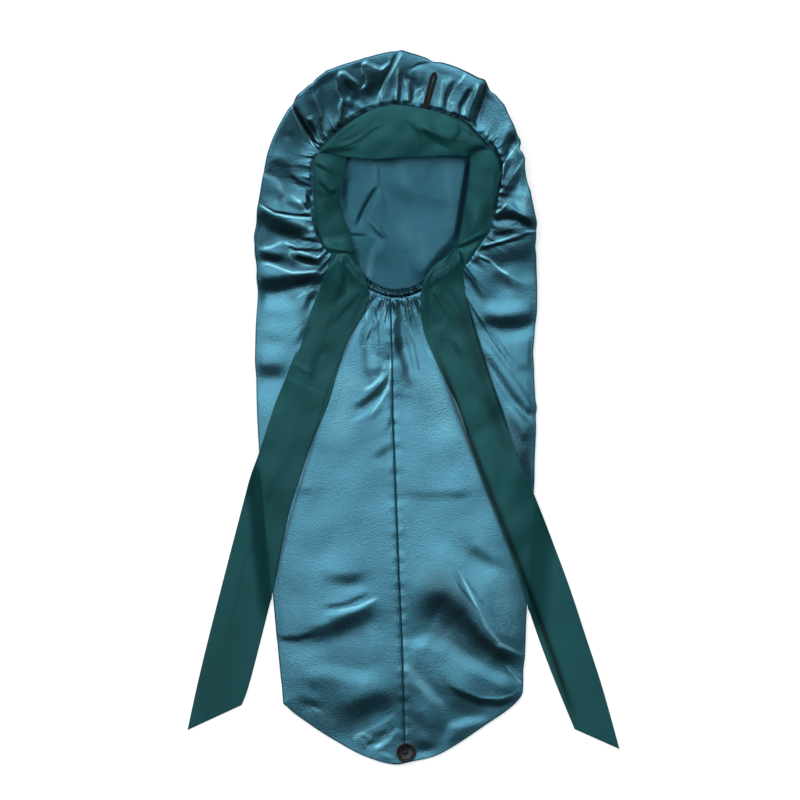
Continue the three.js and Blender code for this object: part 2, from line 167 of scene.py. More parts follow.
def along_line(x: np.ndarray, y: np.ndarray, line: np.ndarray) -> tuple[np.ndarray, np.ndarray, float]:
    """How far points lie from a bent line, and how far along it.

    Args:
        x: X of each point.
        y: Y of each point.
        line: The line's corners, one per row.

    Returns:
        The signed distance, positive on the left of the line's direction, the distance along it,
        and its whole length.
    """
    nearest = np.full(x.shape, np.inf)
    signed = np.zeros(x.shape)
    along = np.zeros(x.shape)
    start = 0.0
    for (ax, ay), (bx, by) in zip(line[:-1], line[1:]):
        length = math.hypot(bx - ax, by - ay)
        ux, uy = (bx - ax) / length, (by - ay) / length
        held = np.clip((x - ax) * ux + (y - ay) * uy, 0.0, length)
        dx = x - (ax + ux * held)
        dy = y - (ay + uy * held)
        distance = np.hypot(dx, dy)
        closer = distance < nearest
        nearest = np.where(closer, distance, nearest)
        side = np.sign(ux * dy - uy * dx)
        signed = np.where(closer, distance * side, signed)
        along = np.where(closer, start + held, along)
        start += length
    return signed, along, start


@dataclass(frozen=True)
class Lean:
    """A stretch of cloth that tips by some degrees across a plan line.

    It tips towards the upper left, where the light is, if degrees is positive, and away from it if
    degrees is negative. left and right are the half-widths on either side of the line's direction,
    and fade is the share of the line's length over which each end dies away.
    """

    line: Line
    degrees: float
    left: float
    right: float
    fade: float = 0.3

    def add_to(self, slopes: np.ndarray, x: np.ndarray, y: np.ndarray, lit: tuple[float, float]) -> None:
        """Adds the lean's slopes to a raster.

        Args:
            slopes: Slopes along X and Y, shaped rows by columns by 2, changed in place.
            x: X of the raster's columns.
            y: Y of the raster's rows.
            lit: The plan direction towards the light.
        """
        line = row_xy(self.line)
        margin = LEAN_REACH * max(self.left, self.right)
        low, high = line.min(axis=0) - margin, line.max(axis=0) + margin
        columns = np.flatnonzero((x >= low[0]) & (x <= high[0]))
        rows = np.flatnonzero((y >= low[1]) & (y <= high[1]))
        if not len(columns) or not len(rows):
            return
        part = np.s_[rows[0] : rows[-1] + 1, columns[0] : columns[-1] + 1]
        px, py = np.meshgrid(x[columns], y[rows])
        signed, along, length = along_line(px, py, line)
        width = np.where(signed > 0.0, self.left, self.right)
        profile = np.exp(-((np.abs(signed) / width) ** LEAN_SQUARENESS))
        fade = self.fade * length
        strength = profile * smooth(along / fade) * smooth((length - along) / fade)
        corners = run_along(line)
        ends = []
        for step in (LEAN_STEP, -LEAN_STEP):
            place = np.clip(along + step, 0.0, length)
            ends.append(np.stack([np.interp(place, corners, line[:, k]) for k in (0, 1)], axis=-1))
        ahead = ends[0] - ends[1]
        ahead /= np.linalg.norm(ahead, axis=-1)[..., None] + 1e-9
        across = np.stack([-ahead[..., 1], ahead[..., 0]], axis=-1)
        facing = across @ np.asarray(lit)
        across = across * np.tanh(facing / LEAN_TURN)[..., None]
        slopes[part] += -math.tan(math.radians(self.degrees)) * across * strength[..., None]


def leans_from(rows: Rows) -> tuple[Lean, ...]:
    """The leans that a table holds.

    Args:
        rows: Degrees, half-widths left and right, share that fades, then X and Y of each plan point.

    Returns:
        One lean per row.
    """
    return tuple(
        Lean(tuple(zip(points[::2], points[1::2])), degrees, left, right, fade)
        for degrees, left, right, fade, *points in rows
    )


class Relief:
    """The gentle relief whose slopes are the leans', worked out once on a raster."""

    def __init__(
        self,
        leans: tuple[Lean, ...],
        cell: float = 0.8,
        half: tuple[float, float] = (204.0, 409.0),
        longest: float = 170.0,
    ) -> None:
        """Solves for the heights.

        Args:
            leans: The leans to add up.
            cell: Raster cell.
            half: Half-width and half-length of the raster.
            longest: Waves longer than this, are held flat.
        """
        self.cell = cell
        self.x = np.arange(-half[0], half[0], cell)
        self.y = np.arange(-half[1], half[1], cell)
        slopes = np.zeros((len(self.y), len(self.x), 2))
        for lean in leans:
            lean.add_to(slopes, self.x, self.y, LIT_SIDE)
        kx = 2.0 * np.pi * np.fft.fftfreq(len(self.x), cell)[None, :]
        ky = 2.0 * np.pi * np.fft.fftfreq(len(self.y), cell)[:, None]
        waves = -1j * (kx * np.fft.fft2(slopes[..., 0]) + ky * np.fft.fft2(slopes[..., 1]))
        waves /= kx**2 + ky**2 + (2.0 * np.pi / longest) ** 2
        self.heights = np.real(np.fft.ifft2(waves))

    def at(self, x: np.ndarray, y: np.ndarray) -> np.ndarray:
        """The relief's height, by cubic interpolation.

        Args:
            x: X of each point.
            y: Y of each point.

        Returns:
            Heights.
        """
        column = (x - self.x[0]) / self.cell
        row = (y - self.y[0]) / self.cell
        j = np.clip(np.floor(column).astype(int), 1, len(self.x) - 3)
        i = np.clip(np.floor(row).astype(int), 1, len(self.y) - 3)
        across, down = self.weights(column - j), self.weights(row - i)
        total = np.zeros(x.shape)
        for n in range(4):
            for m in range(4):
                total += down[n] * across[m] * self.heights[i + n - 1, j + m - 1]
        return total

    @staticmethod
    def weights(share: np.ndarray) -> list[np.ndarray]:
        """Cubic weights of a place's four neighbours.

        Args:
            share: How far the place lies from the second neighbour to the third.

        Returns:
            The four weights.
        """
        t = share
        return [
            0.5 * (-t + 2.0 * t**2 - t**3),
            0.5 * (2.0 - 5.0 * t**2 + 3.0 * t**3),
            0.5 * (t + 4.0 * t**2 - 3.0 * t**3),
            0.5 * (-(t**2) + t**3),
        ]


@dataclass(frozen=True)
class Crumple:
    """Uneven small waves in cloth, the same at every run."""

    wavelength: float
    height: float
    seed: int
    waves: int = 16
    crease: float = 0.0

    def at(self, x: np.ndarray, y: np.ndarray) -> np.ndarray:
        """The waves' height.

        Args:
            x: X of each point.
            y: Y of each point.

        Returns:
            Heights.
        """
        rng = np.random.default_rng(self.seed)
        total = np.zeros(x.shape)
        for _ in range(self.waves):
            angle = rng.uniform(0.0, math.pi)
            turn = 2.0 * math.pi / (self.wavelength * rng.uniform(0.65, 1.6))
            phase = rng.uniform(0.0, 2.0 * math.pi)
            total += np.sin(turn * (x * math.cos(angle) + y * math.sin(angle)) + phase)
        total /= math.sqrt(self.waves / 2.0)
        creased = 1.0 - np.abs(total)
        return self.height * ((1.0 - self.crease) * total + self.crease * creased)


def by_length(y: np.ndarray, rows: Pairs, soften: float = 22.0) -> np.ndarray:
    """Reads a table of values along the bonnet's length, with its corners rounded off.

    Args:
        y: Places along the length.
        rows: Pairs of place and value, from the tail up.
        soften: Half the span over which the corners are rounded.

    Returns:
        The values.
    """
    places = np.asarray([place for place, _ in rows], dtype=float)
    values = np.asarray([value for _, value in rows], dtype=float)
    shifts = np.linspace(-soften, soften, 7)
    return sum(np.interp(y + shift, places, values) for shift in shifts) / len(shifts)


def deselect() -> None:
    """Leaves nothing selected."""
    for item in bpy.context.selected_objects:
        item.select_set(False)
    bpy.context.view_layer.objects.active = None


def choose(piece: bpy.types.Object) -> None:
    """Makes one piece the only selected and the active object.

    Args:
        piece: The piece.
    """
    deselect()
    piece.select_set(True)
    bpy.context.view_layer.objects.active = piece


def apply_modifiers(piece: bpy.types.Object) -> None:
    """Applies every modifier of a piece, in order.

    Args:
        piece: The piece.
    """
    choose(piece)
    for modifier in list(piece.modifiers):
        bpy.ops.object.modifier_apply(modifier=modifier.name)
    deselect()


def settle_place(piece: bpy.types.Object) -> None:
    """Puts a piece's place, turn and scale into its mesh.

    Args:
        piece: The piece.
    """
    choose(piece)
    bpy.ops.object.transform_apply(location=True, rotation=True, scale=True)
    deselect()


def grid_piece(
    name: str,
    grid: np.ndarray,
    wrap: bool = False,
    facing: Facing = Facing.AS_BUILT,
    plan_map: bool = False,
) -> bpy.types.Object:
    """A mesh object from rows and columns of points, with a UV map in metres along the cloth.

    Args:
        name: The piece's name.
        grid: Points, shaped rows by columns by 3.
        wrap: Whether the last column joins the first.
        facing: Whether the faces are turned over.
        plan_map: Whether the UV map is the plan itself, as on cloth whose threads run down the bonnet.

    Returns:
        The new object, linked to the scene.
    """
    rows, columns = grid.shape[:2]
    vertices = grid.reshape(-1, 3) * MM
    index = np.arange(rows * columns).reshape(rows, columns)
    ahead = np.roll(index, -1, axis=1)
    last = columns if wrap else columns - 1
    quads = np.stack(
        [index[:-1, :last], ahead[:-1, :last], ahead[1:, :last], index[1:, :last]],
        axis=-1,
    ).reshape(-1, 4)
    if facing is Facing.TURNED:
        quads = quads[:, ::-1]
    mesh = bpy.data.meshes.new(name)
    mesh.from_pydata(vertices.tolist(), [], quads.tolist())
    across = np.linalg.norm(np.diff(grid, axis=1, append=grid[:, :1]), axis=2)
    down = np.linalg.norm(np.diff(grid, axis=0), axis=2)
    u = np.concatenate([np.zeros((rows, 1)), np.cumsum(across, axis=1)], axis=1)
    v = np.concatenate([np.zeros((1, columns)), np.cumsum(down, axis=0)], axis=0)
    u = np.repeat(u.mean(axis=0)[None, :], rows, axis=0)
    v = np.concatenate([v, v[:, :1]], axis=1)
    row = np.arange(rows - 1)[:, None] + np.zeros((1, last), dtype=int)
    column = np.arange(last)[None, :] + np.zeros((rows - 1, 1), dtype=int)
    corner_rows = np.stack([row, row, row + 1, row + 1], axis=-1).reshape(-1, 4)
    corner_columns = np.stack([column, column + 1, column + 1, column], axis=-1).reshape(-1, 4)
    if facing is Facing.TURNED:
        corner_rows = corner_rows[:, ::-1]
        corner_columns = corner_columns[:, ::-1]
    places = np.stack([u[corner_rows, corner_columns], v[corner_rows, corner_columns]], axis=-1)
    if plan_map:
        places = grid[..., :2].reshape(-1, 2)[quads]
    layer = mesh.uv_layers.new(name="cloth")
    layer.data.foreach_set("uv", (places.reshape(-1) * MM).astype(np.float32))
    mesh.update()
    piece = bpy.data.objects.new(name, mesh)
    bpy.context.scene.collection.objects.link(piece)
    return piece


def upward(grid: np.ndarray) -> Facing:
    """The facing that makes a grid's faces look up.

    Args:
        grid: Points, shaped rows by columns by 3.

    Returns:
        Whether its faces have to be turned over.
    """
    across = np.diff(grid, axis=1)[:-1]
    down = np.diff(grid, axis=0)[:, :-1]
    lift = (across[..., 0] * down[..., 1] - across[..., 1] * down[..., 0]).sum()
    return Facing.AS_BUILT if lift > 0.0 else Facing.TURNED


def give_wall(piece: bpy.types.Object, wall: float, offset: float, reverse_slot: int = 0) -> None:
    """Gives a sheet its thickness.

    Args:
        piece: The sheet.
        wall: Its thickness.
        offset: -1 to grow inwards from the faces, 0 both ways, 1 outwards.
        reverse_slot: How many material slots on the reverse's finish lies.
    """
    solid = piece.modifiers.new("wall", "SOLIDIFY")
    solid.thickness = wall * MM
    solid.offset = offset
    solid.use_even_offset = False
    solid.material_offset = reverse_slot
    solid.use_rim = True
    apply_modifiers(piece)


def shade(piece: bpy.types.Object, angle: float = 40.0) -> None:
    """Smooth shading, with sharp edges kept.

    Args:
        piece: The piece.
        angle: Edges sharper than this, in degrees, are kept.
    """
    choose(piece)
    bpy.ops.object.shade_smooth_by_angle(angle=math.radians(angle))
    deselect()


# The four plan directions in which a piece feels for what it lies on.

SIDEWAYS = ((1.0, 0.0), (-1.0, 0.0), (0.0, 1.0), (0.0, -1.0))


class Cover:
    """The height of what lies under a plan point, read from grids of points."""

    def __init__(self, grids: list[tuple[np.ndarray, bool]]) -> None:
        """Builds the search tree.

        Args:
            grids: Grids of points, each with whether it wraps round.
        """
        vertices: list[tuple[float, float, float]] = []
        faces: list[tuple[int, int, int, int]] = []
        for grid, wrap in grids:
            start = len(vertices)
            rows, columns = grid.shape[:2]
            vertices.extend(map(tuple, grid.reshape(-1, 3).tolist()))
            index = np.arange(rows * columns).reshape(rows, columns) + start
            ahead = np.roll(index, -1, axis=1)
            last = columns if wrap else columns - 1
            quads = np.stack(
                [index[:-1, :last], ahead[:-1, :last], ahead[1:, :last], index[1:, :last]],
                axis=-1,
            ).reshape(-1, 4)
            faces.extend(map(tuple, quads.tolist()))
        self.tree = BVHTree.FromPolygons(vertices, faces)

    def height(self, x: float, y: float) -> float:
        """The height of the highest surface at a point, or 0 on the floor."""
        hit = self.tree.ray_cast(Vector((x, y, 200.0)), Vector((0.0, 0.0, -1.0)))[0]
        return hit.z if hit else 0.0

    def heights(self, x: np.ndarray, y: np.ndarray) -> np.ndarray:
        """The heights at many points."""
        flat = [self.height(a, b) for a, b in zip(x.reshape(-1).tolist(), y.reshape(-1).tolist())]
        return np.asarray(flat).reshape(x.shape)


# Finishes


class Recipe:
    """A material in the making: its nodes, their sockets and the links between them."""

    def __init__(self, name: str) -> None:
        """Starts an empty material with a shader and its output.

        Args:
            name: The material's name.
        """
        self.material = bpy.data.materials.new(name)
        self.material.use_nodes = True
        self.tree = self.material.node_tree
        self.tree.nodes.clear()
        output = self.add("OutputMaterial")
        self.shader = self.add("BsdfPrincipled")
        self.join(self.shader, "BSDF", output, "Surface")

    def add(self, kind: str, sockets: dict[str | int, Any] | None = None, **options: Any) -> bpy.types.Node:
        """Adds a node.

        Args:
            kind: Its type.
            sockets: Values of its inputs, by name or number.
            options: Values of its own properties.

        Returns:
            The node.
        """
        node = self.tree.nodes.new("ShaderNode" + kind)
        for name, value in options.items():
            setattr(node, name, value)
        self.fill(node, sockets or {})
        return node

    def fill(self, node: bpy.types.Node, sockets: dict[str | int, Any]) -> None:
        """Sets a node's inputs, by name or number."""
        for name, value in sockets.items():
            node.inputs[name].default_value = value

    def join(self, source: bpy.types.Node, output: str, target: bpy.types.Node, socket: str | int) -> None:
        """Links one node's output to another's input."""
        self.tree.links.new(source.outputs[output], target.inputs[socket])

    def ramp(self, ends: tuple[tuple[float, Colour], tuple[float, Colour]]) -> bpy.types.Node:
        """Adds a ramp between two colours.

        Args:
            ends: Place and colour of each end.

        Returns:
            The node.
        """
        node = self.add("ValToRGB")
        for element, (place, colour) in zip(node.color_ramp.elements, ends):
            element.position = place
            element.color = (*colour, 1.0)
        return node


@dataclass(frozen=True)
class SatinFinish:
    """Woven satin: a smooth sheen over fine threads, with a slightly uneven tone, a painted sheen towards
    grazing view, and painted highlights and painted shade along the folds.
    """

    name: str
    base: Colour
    deep: Colour
    # glint is a painted sheen, mixed into the base colour towards grazing view.
    glint: Colour
    metallic: float
    roughness: float
    specular: float
    thread: float
    rumple: float
    streak: float = 0.0
    sparkle: float = 0.0
    coat: float = 0.0
    # crest and shade are the painted highlight and the painted shade that the fold attribute mixes into the
    # colour.
    crest: Colour = (0.25, 0.62, 0.73)
    shade: Colour = (0.004, 0.016, 0.024)

    def make(self) -> bpy.types.Material:
        """The finish as a material."""
        look = Recipe(self.name)
        shader = look.shader
        look.fill(
            shader,
            {
                "Metallic": self.metallic,
                "IOR": 1.5,
                "Specular IOR Level": self.specular,
                "Coat Weight": self.coat,
                "Coat Roughness": 0.34,
                "Anisotropic": self.streak,
            },
        )
        thread_way = look.add("Tangent", direction_type="UV_MAP", uv_map="cloth")
        look.join(thread_way, "Tangent", shader, "Tangent")

        place = look.add("TexCoord")
        tone = look.add("TexNoise", {"Scale": 16.0, "Detail": 4.0})
        look.join(place, "Object", tone, "Vector")
        ramp = look.ramp(((0.32, self.deep), (0.68, self.base)))
        look.join(tone, "Fac", ramp, "Fac")
        # Painted sheen: the glint colour is mixed in towards grazing view.
        facing = look.add("LayerWeight", {"Blend": 0.25})
        colour_with_painted_light = look.add("Mix", data_type="RGBA")
        look.fill(colour_with_painted_light, {"B": (*self.glint, 1.0)})
        look.join(facing, "Facing", colour_with_painted_light, "Factor")
        look.join(ramp, "Color", colour_with_painted_light, "A")
        # Painted shade and painted highlights from the fold attribute: along the folds, and shadows beside
        # the band and ties.
        folds = look.add("Attribute", attribute_name="painted_fold_shading")
        for sign, tint in ((-1.0, self.shade), (1.0, self.crest)):
            amount = look.add("Math", {1: sign}, operation="MULTIPLY", use_clamp=True)
            look.join(folds, "Fac", amount, 0)
            under = colour_with_painted_light
            colour_with_painted_light = look.add("Mix", data_type="RGBA")
            look.fill(colour_with_painted_light, {"B": (*tint, 1.0)})
            look.join(amount, "Value", colour_with_painted_light, "Factor")
            look.join(under, "Result", colour_with_painted_light, "A")
        look.join(colour_with_painted_light, "Result", shader, "Base Color")

        stretch = look.add("Mapping", {"Scale": (2600.0, 190.0, 1.0)})
        threads = look.add("TexNoise", {"Scale": 1.0, "Detail": 2.0}, noise_dimensions="2D")
        look.join(place, "UV", stretch, "Vector")
        look.join(stretch, "Vector", threads, "Vector")
        rough = look.add("MapRange", {"To Min": self.roughness - 0.05, "To Max": self.roughness + 0.05})
        look.join(threads, "Fac", rough, "Value")
        look.join(rough, "Result", shader, "Roughness")

        specks = look.add("TexNoise", {"Scale": 640.0, "Detail": 2.0, "Roughness": 0.7})
        creases = look.add("TexNoise", {"Scale": 95.0, "Detail": 5.0, "Roughness": 0.55})
        look.join(place, "Object", specks, "Vector")
        look.join(place, "Object", creases, "Vector")
        below = None
        for pattern, strength, depth in (
            (threads, self.thread, 0.0002),
            (specks, self.sparkle, 0.0005),
            (creases, self.rumple, 0.0015),
        ):
            bump = look.add("Bump", {"Strength": strength, "Distance": depth})
            look.join(pattern, "Fac", bump, "Height")
            if below:
                look.join(below, "Normal", bump, "Normal")
            below = bump
        look.join(below, "Normal", shader, "Normal")
        return look.material


@dataclass(frozen=True)
class CordFinish:
    """Black braided elastic."""

    name: str = "braided_elastic"
    base: Colour = (0.012, 0.010, 0.011)
    light: Colour = (0.034, 0.026, 0.024)

    def make(self) -> bpy.types.Material:
        """The finish as a material."""
        look = Recipe(self.name)
        look.fill(
            look.shader,
            {"Roughness": 0.7, "Specular IOR Level": 0.3, "Sheen Weight": 0.08, "Sheen Roughness": 0.5},
        )
        place = look.add("TexCoord")
        turn = math.radians(38.0)
        scale = look.add("Mapping", {"Scale": (2400.0, 1300.0, 1.0), "Rotation": (0.0, 0.0, turn)})
        colours = {"Color1": (*self.base, 1.0), "Color2": (*self.light, 1.0)}
        braid = look.add("TexChecker", {"Scale": 1.0, **colours})
        look.join(place, "UV", scale, "Vector")
        look.join(scale, "Vector", braid, "Vector")
        look.join(braid, "Color", look.shader, "Base Color")
        bump = look.add("Bump", {"Strength": 0.5, "Distance": 0.0002})
        look.join(braid, "Fac", bump, "Height")
        look.join(bump, "Normal", look.shader, "Normal")
        return look.material


@dataclass(frozen=True)
class ButtonFinish:
    """Polished black plastic with faint moulding marks."""

    name: str = "polished_black_plastic"
    base: Colour = (0.004, 0.004, 0.005)
    cloudy: Colour = (0.02, 0.02, 0.024)

    def make(self) -> bpy.types.Material:
        """The finish as a material."""
        look = Recipe(self.name)
        look.fill(look.shader, {"Specular IOR Level": 0.2, "Coat Weight": 0.12, "Coat Roughness": 0.08})
        place = look.add("TexCoord")
        cloud = look.add("TexNoise", {"Scale": 240.0, "Detail": 3.0})
        look.join(place, "Object", cloud, "Vector")
        tint = look.ramp(((0.0, self.base), (1.0, self.cloudy)))
        look.join(cloud, "Fac", tint, "Fac")
        look.join(tint, "Color", look.shader, "Base Color")
        rough = look.add("MapRange", {"To Min": 0.16, "To Max": 0.3})
        look.join(cloud, "Fac", rough, "Value")
        look.join(rough, "Result", look.shader, "Roughness")
        return look.material


@dataclass(frozen=True)
class FloorFinish:
    """Matte white paper on a softly lit table."""

    name: str = "white_paper"
    glow: float = 0.6

    def make(self) -> bpy.types.Material:
        """The finish as a material."""
        look = Recipe(self.name)
        look.fill(
            look.shader,
            {
                "Base Color": (0.93, 0.93, 0.93, 1.0),
                "Roughness": 0.95,
                "Specular IOR Level": 0.1,
                "Emission Color": (1.0, 1.0, 1.0, 1.0),
                "Emission Strength": self.glow,
            },
        )
        return look.material


SATIN_OUT = SatinFinish(
    name="teal_satin",
    base=(0.050, 0.210, 0.298),
    deep=(0.041, 0.178, 0.258),
    glint=(0.10, 0.32, 0.42),
    metallic=0.95,
    roughness=0.32,
    specular=0.5,
    thread=0.12,
    rumple=0.07,
    streak=0.4,
    sparkle=0.6,
    coat=0.4,
)
SATIN_REVERSE = SatinFinish(
    name="teal_satin_reverse",
    base=(0.021, 0.115, 0.170),
    deep=(0.017, 0.098, 0.143),
    glint=(0.04, 0.14, 0.187),
    metallic=0.5,
    roughness=0.38,
    specular=0.2,
    thread=0.2,
    rumple=0.12,
    streak=0.3,
    sparkle=0.1,
)
# Darker satin for the gathered nape casing: painted shade standing in for the gathers' shadow on themselves.
SHADED_GATHERED_SATIN = SatinFinish(
    name="teal_satin_gathered_painted_shade",
    base=(0.030, 0.135, 0.190),
    deep=(0.016, 0.075, 0.105),
    glint=(0.10, 0.30, 0.38),
    metallic=0.9,
    roughness=0.24,
    specular=0.5,
    thread=0.2,
    rumple=0.5,
    streak=0.3,
    sparkle=0.5,
    coat=0.3,
)
BAND_SATIN = SatinFinish(
    name="dark_green_satin",
    base=(0.0132, 0.106, 0.117),
    deep=(0.0098, 0.089, 0.098),
    glint=(0.022, 0.14, 0.154),
    metallic=0.4,
    roughness=0.42,
    specular=0.15,
    thread=0.25,
    rumple=0.08,
    streak=0.3,
    sparkle=0.1,
    # Painted highlight and painted shade colours for the band's and ties' folds.
    crest=(0.04, 0.2, 0.22),
    shade=(0.002, 0.014, 0.016),
)


# Section lines of the satin body, clockwise from the top: X and Y of the seam, X and Y of the rim.

SECTION_LINES: tuple[tuple[float, float, float, float], ...] = (
    (400, 105.5, 398, 52),
    (424, 109, 432, 60.5),
    (446, 115, 462, 70.5),
    (465, 122, 488, 86.5),
    (480, 136, 507, 112),
    (492, 150, 521.5, 148),
    (499, 166, 528, 181),
    (495.5, 190, 535.5, 223),
    (491.5, 212, 537, 264),
    (487, 234, 537, 305),
    (475, 250, 534, 360),
    (463, 263, 536, 430),
    (455, 269, 534, 490),
    (447, 275, 529, 560),
    (440, 280, 526, 620),
    (434, 284, 524, 665),
    (428, 287.5, 518, 700),
    (421, 291.5, 478, 730),
    (413, 295, 439, 754.5),
    (405, 297.5, 412, 761.8),
    (393, 298, 393, 764.5),
    (384, 296, 365, 756.5),
    (376, 292, 340, 743.5),
    (369, 288, 310, 724.5),
    (364, 284, 286, 705),
    (361, 280.5, 281.5, 683),
    (356, 275, 277, 640),
    (351, 269.5, 272, 585),
    (346, 264, 266, 520),
    (341, 258.5, 259, 450),
    (334, 252, 256, 385),
    (325, 243, 255.5, 335),
    (318.5, 228, 257, 290),
    (315, 205, 254.5, 240),
    (314, 180, 260, 195),
    (315, 162, 269, 150),
    (321, 150, 284.5, 116),
    (332, 137, 303, 91.5),
    (348, 123, 326, 72.5),
    (372, 110, 358, 61),
)

# Heights and widths by the place along the bonnet, from the tail up: place, value.

CREST: Pairs = (
    (-355, 4.6), (-300, 9), (-240, 12.2), (-180, 13.2), (-60, 12.6), (60, 11.8), (100, 12.4), (130, 14.6),
    (170, 20.2), (230, 28.2), (300, 35), (355, 38.8),
)
CREST_RIGHT: Pairs = (
    (100, 12.4), (130, 15), (170, 21.4), (230, 29.2), (300, 32.4), (355, 33.8),
)
EDGE_HEIGHT: Pairs = (
    (-355, 4.2), (-240, 7.4), (60, 9.2), (130, 13.4), (170, 19.4), (230, 28.6), (300, 35.6), (355, 38.8),
)
EDGE_HEIGHT_RIGHT: Pairs = (
    (60, 9.2), (130, 13.6), (170, 20.2), (230, 27.6), (300, 31.8), (355, 33),
)
EDGE_RISE: Pairs = (
    (-355, 60), (60, 50), (200, 40), (355, 36),
)
EDGE_ROUND: Pairs = (
    (-355, 1.1), (60, 1.3), (200, 1.8), (355, 2.2),
)
SEAM_HEIGHT: Pairs = (
    (100, 11.6), (130, 13.8), (160, 17.2), (230, 25), (310, 29.5),
)

# Leans: degrees, half-widths left and right, share that fades, then X and Y of each plan point.

CROWN_LEANS: tuple[Lean, ...] = leans_from((
    (-6, 9, 9, 0.3, 267, 152, 276, 134, 285, 116),
    (-10, 5, 5, 0.25, 300, 98, 320, 82, 345, 68),
    (-8, 5, 4, 0.3, 430, 70, 452, 74, 468, 80),
    (34, 1.3, 1.3, 0.1, 289, 103, 295, 116, 303, 131, 310, 143, 318, 152),
    (-34, 6, 3.4, 0.12, 294, 103, 300, 117, 309, 132, 318, 147),
    (-3, 4.5, 4.5, 0.4, 308, 90, 304, 102, 297, 112),
    (22, 1, 1, 0.15, 310, 89, 316, 103, 321, 120, 324, 135, 326, 143),
    (22, 1.1, 1.1, 0.15, 303, 117, 309, 127, 318, 141, 325, 146),
    (20, 2.4, 2.4, 0.3, 303, 118, 314, 118, 318, 127, 320, 137),
    (-12, 2.5, 2.5, 0.4, 307, 124, 315, 137),
    (-15, 3, 2, 0.2, 319, 88, 321, 112, 322, 132),
    (12, 7.5, 7.5, 0.25, 331, 76, 330, 98, 330, 120),
    (24, 1.5, 1.5, 0.08, 360, 84, 353, 80, 346, 75, 341, 73, 337.5, 77, 338, 88, 341, 98, 339.5, 112, 337,
     124),
    (-21, 5, 5, 0.25, 346, 80, 352, 88, 357, 97),
    (34, 3.2, 3.2, 0.3, 349, 91, 351, 99, 356, 108),
    (-21, 3.6, 3.6, 0.25, 344, 104, 345, 122),
    (26, 1.5, 1.5, 0.08, 360, 92, 365, 86, 366, 81, 363.5, 73, 362.5, 65, 366, 62.5, 373, 67, 381, 69.5,
     388, 65, 391, 60),
    (-19, 6, 6, 0.3, 370, 75, 379, 80, 372, 96),
    (10, 4, 4, 0.4, 362, 92, 368, 104),
    (22, 1.5, 1.5, 0.3, 324, 131, 327, 137, 330, 140),
    (-15, 3.5, 3.5, 0.4, 328, 131, 332, 134),
    (26, 1.8, 1.6, 0.08, 402, 52, 396, 62, 391, 72, 386, 82, 382, 92, 378, 103),
    (10, 2.2, 2.2, 0.12, 397.5, 66, 397, 80, 395.5, 92, 392, 104),
    (-19, 3, 2.5, 0.15, 396, 55, 390, 67, 383, 77, 378, 88),
    (-7, 2.5, 2.5, 0.3, 391, 84, 388, 98),
    (-28, 2.2, 2.2, 0.15, 400, 72, 399.5, 88, 399, 105),
    (-13, 5, 5, 0.35, 350, 66, 372, 62),
    (5, 5, 5, 0.4, 404, 60, 414, 62),
    (-18, 1.2, 1.2, 0.12, 408, 70.5, 418, 65, 428, 62.5, 440, 62),
    (12, 2.2, 2.2, 0.25, 408, 73, 415, 69, 424, 67.5),
    (12, 3.4, 3.4, 0.25, 417, 70, 417, 82, 419, 90),
    (9, 1.4, 1.4, 0.12, 404, 72, 402, 78, 405, 86, 407, 95, 408, 105),
    (9, 1.3, 1.3, 0.25, 398.5, 86, 402, 93, 405, 99),
    (-28, 2.6, 2.6, 0.15, 407, 74, 411, 82, 412, 92, 411, 105),
    (10, 1.8, 1.8, 0.2, 413, 98, 417, 91, 422, 88, 424, 92, 421, 98),
    (-6, 4, 4, 0.35, 427, 66, 441, 68),
    (9, 1.6, 1.6, 0.12, 443, 78, 442, 92, 441, 103, 439, 111),
    (9, 2.4, 2.4, 0.25, 451, 78, 446, 84, 444, 96),
    (-26, 2.2, 2.2, 0.15, 453, 81, 448, 92, 445, 101, 443, 112),
    (12, 1.3, 1.3, 0.12, 466, 73, 460, 82, 453, 92, 448, 102, 447, 113),
    (-13, 1.4, 1.4, 0.25, 461, 82, 454, 91, 449, 100),
    (10, 1.4, 1.4, 0.2, 449, 106, 453, 104, 453, 110, 452, 116),
    (-25, 2.6, 2.6, 0.15, 470, 88, 465, 98, 460, 106, 458, 116),
    (12, 1.6, 1.6, 0.12, 478, 82, 475, 92, 471, 100, 466, 108, 465, 117),
    (8, 2, 2, 0.3, 468, 77, 479, 80),
    (-36, 4.6, 4.6, 0.12, 484, 84, 480, 97, 475, 110, 471, 126),
    (10, 1.6, 2, 0.12, 489, 92, 484, 106, 480, 120, 477, 135),
    (5, 6, 6, 0.3, 492, 100, 487, 118, 484, 132),
    (-6, 4, 4, 0.4, 505, 106, 500, 116),
    (12, 2, 2, 0.2, 511, 119, 505, 128, 499, 137, 494, 148),
    (10, 1.6, 1.6, 0.25, 500, 124, 495, 135, 490, 146),
    (-29, 4.5, 5.5, 0.2, 516, 130, 511, 138, 506, 148, 504, 158),
    (3, 9, 9, 0.3, 392, 66, 410, 72, 432, 70),
))
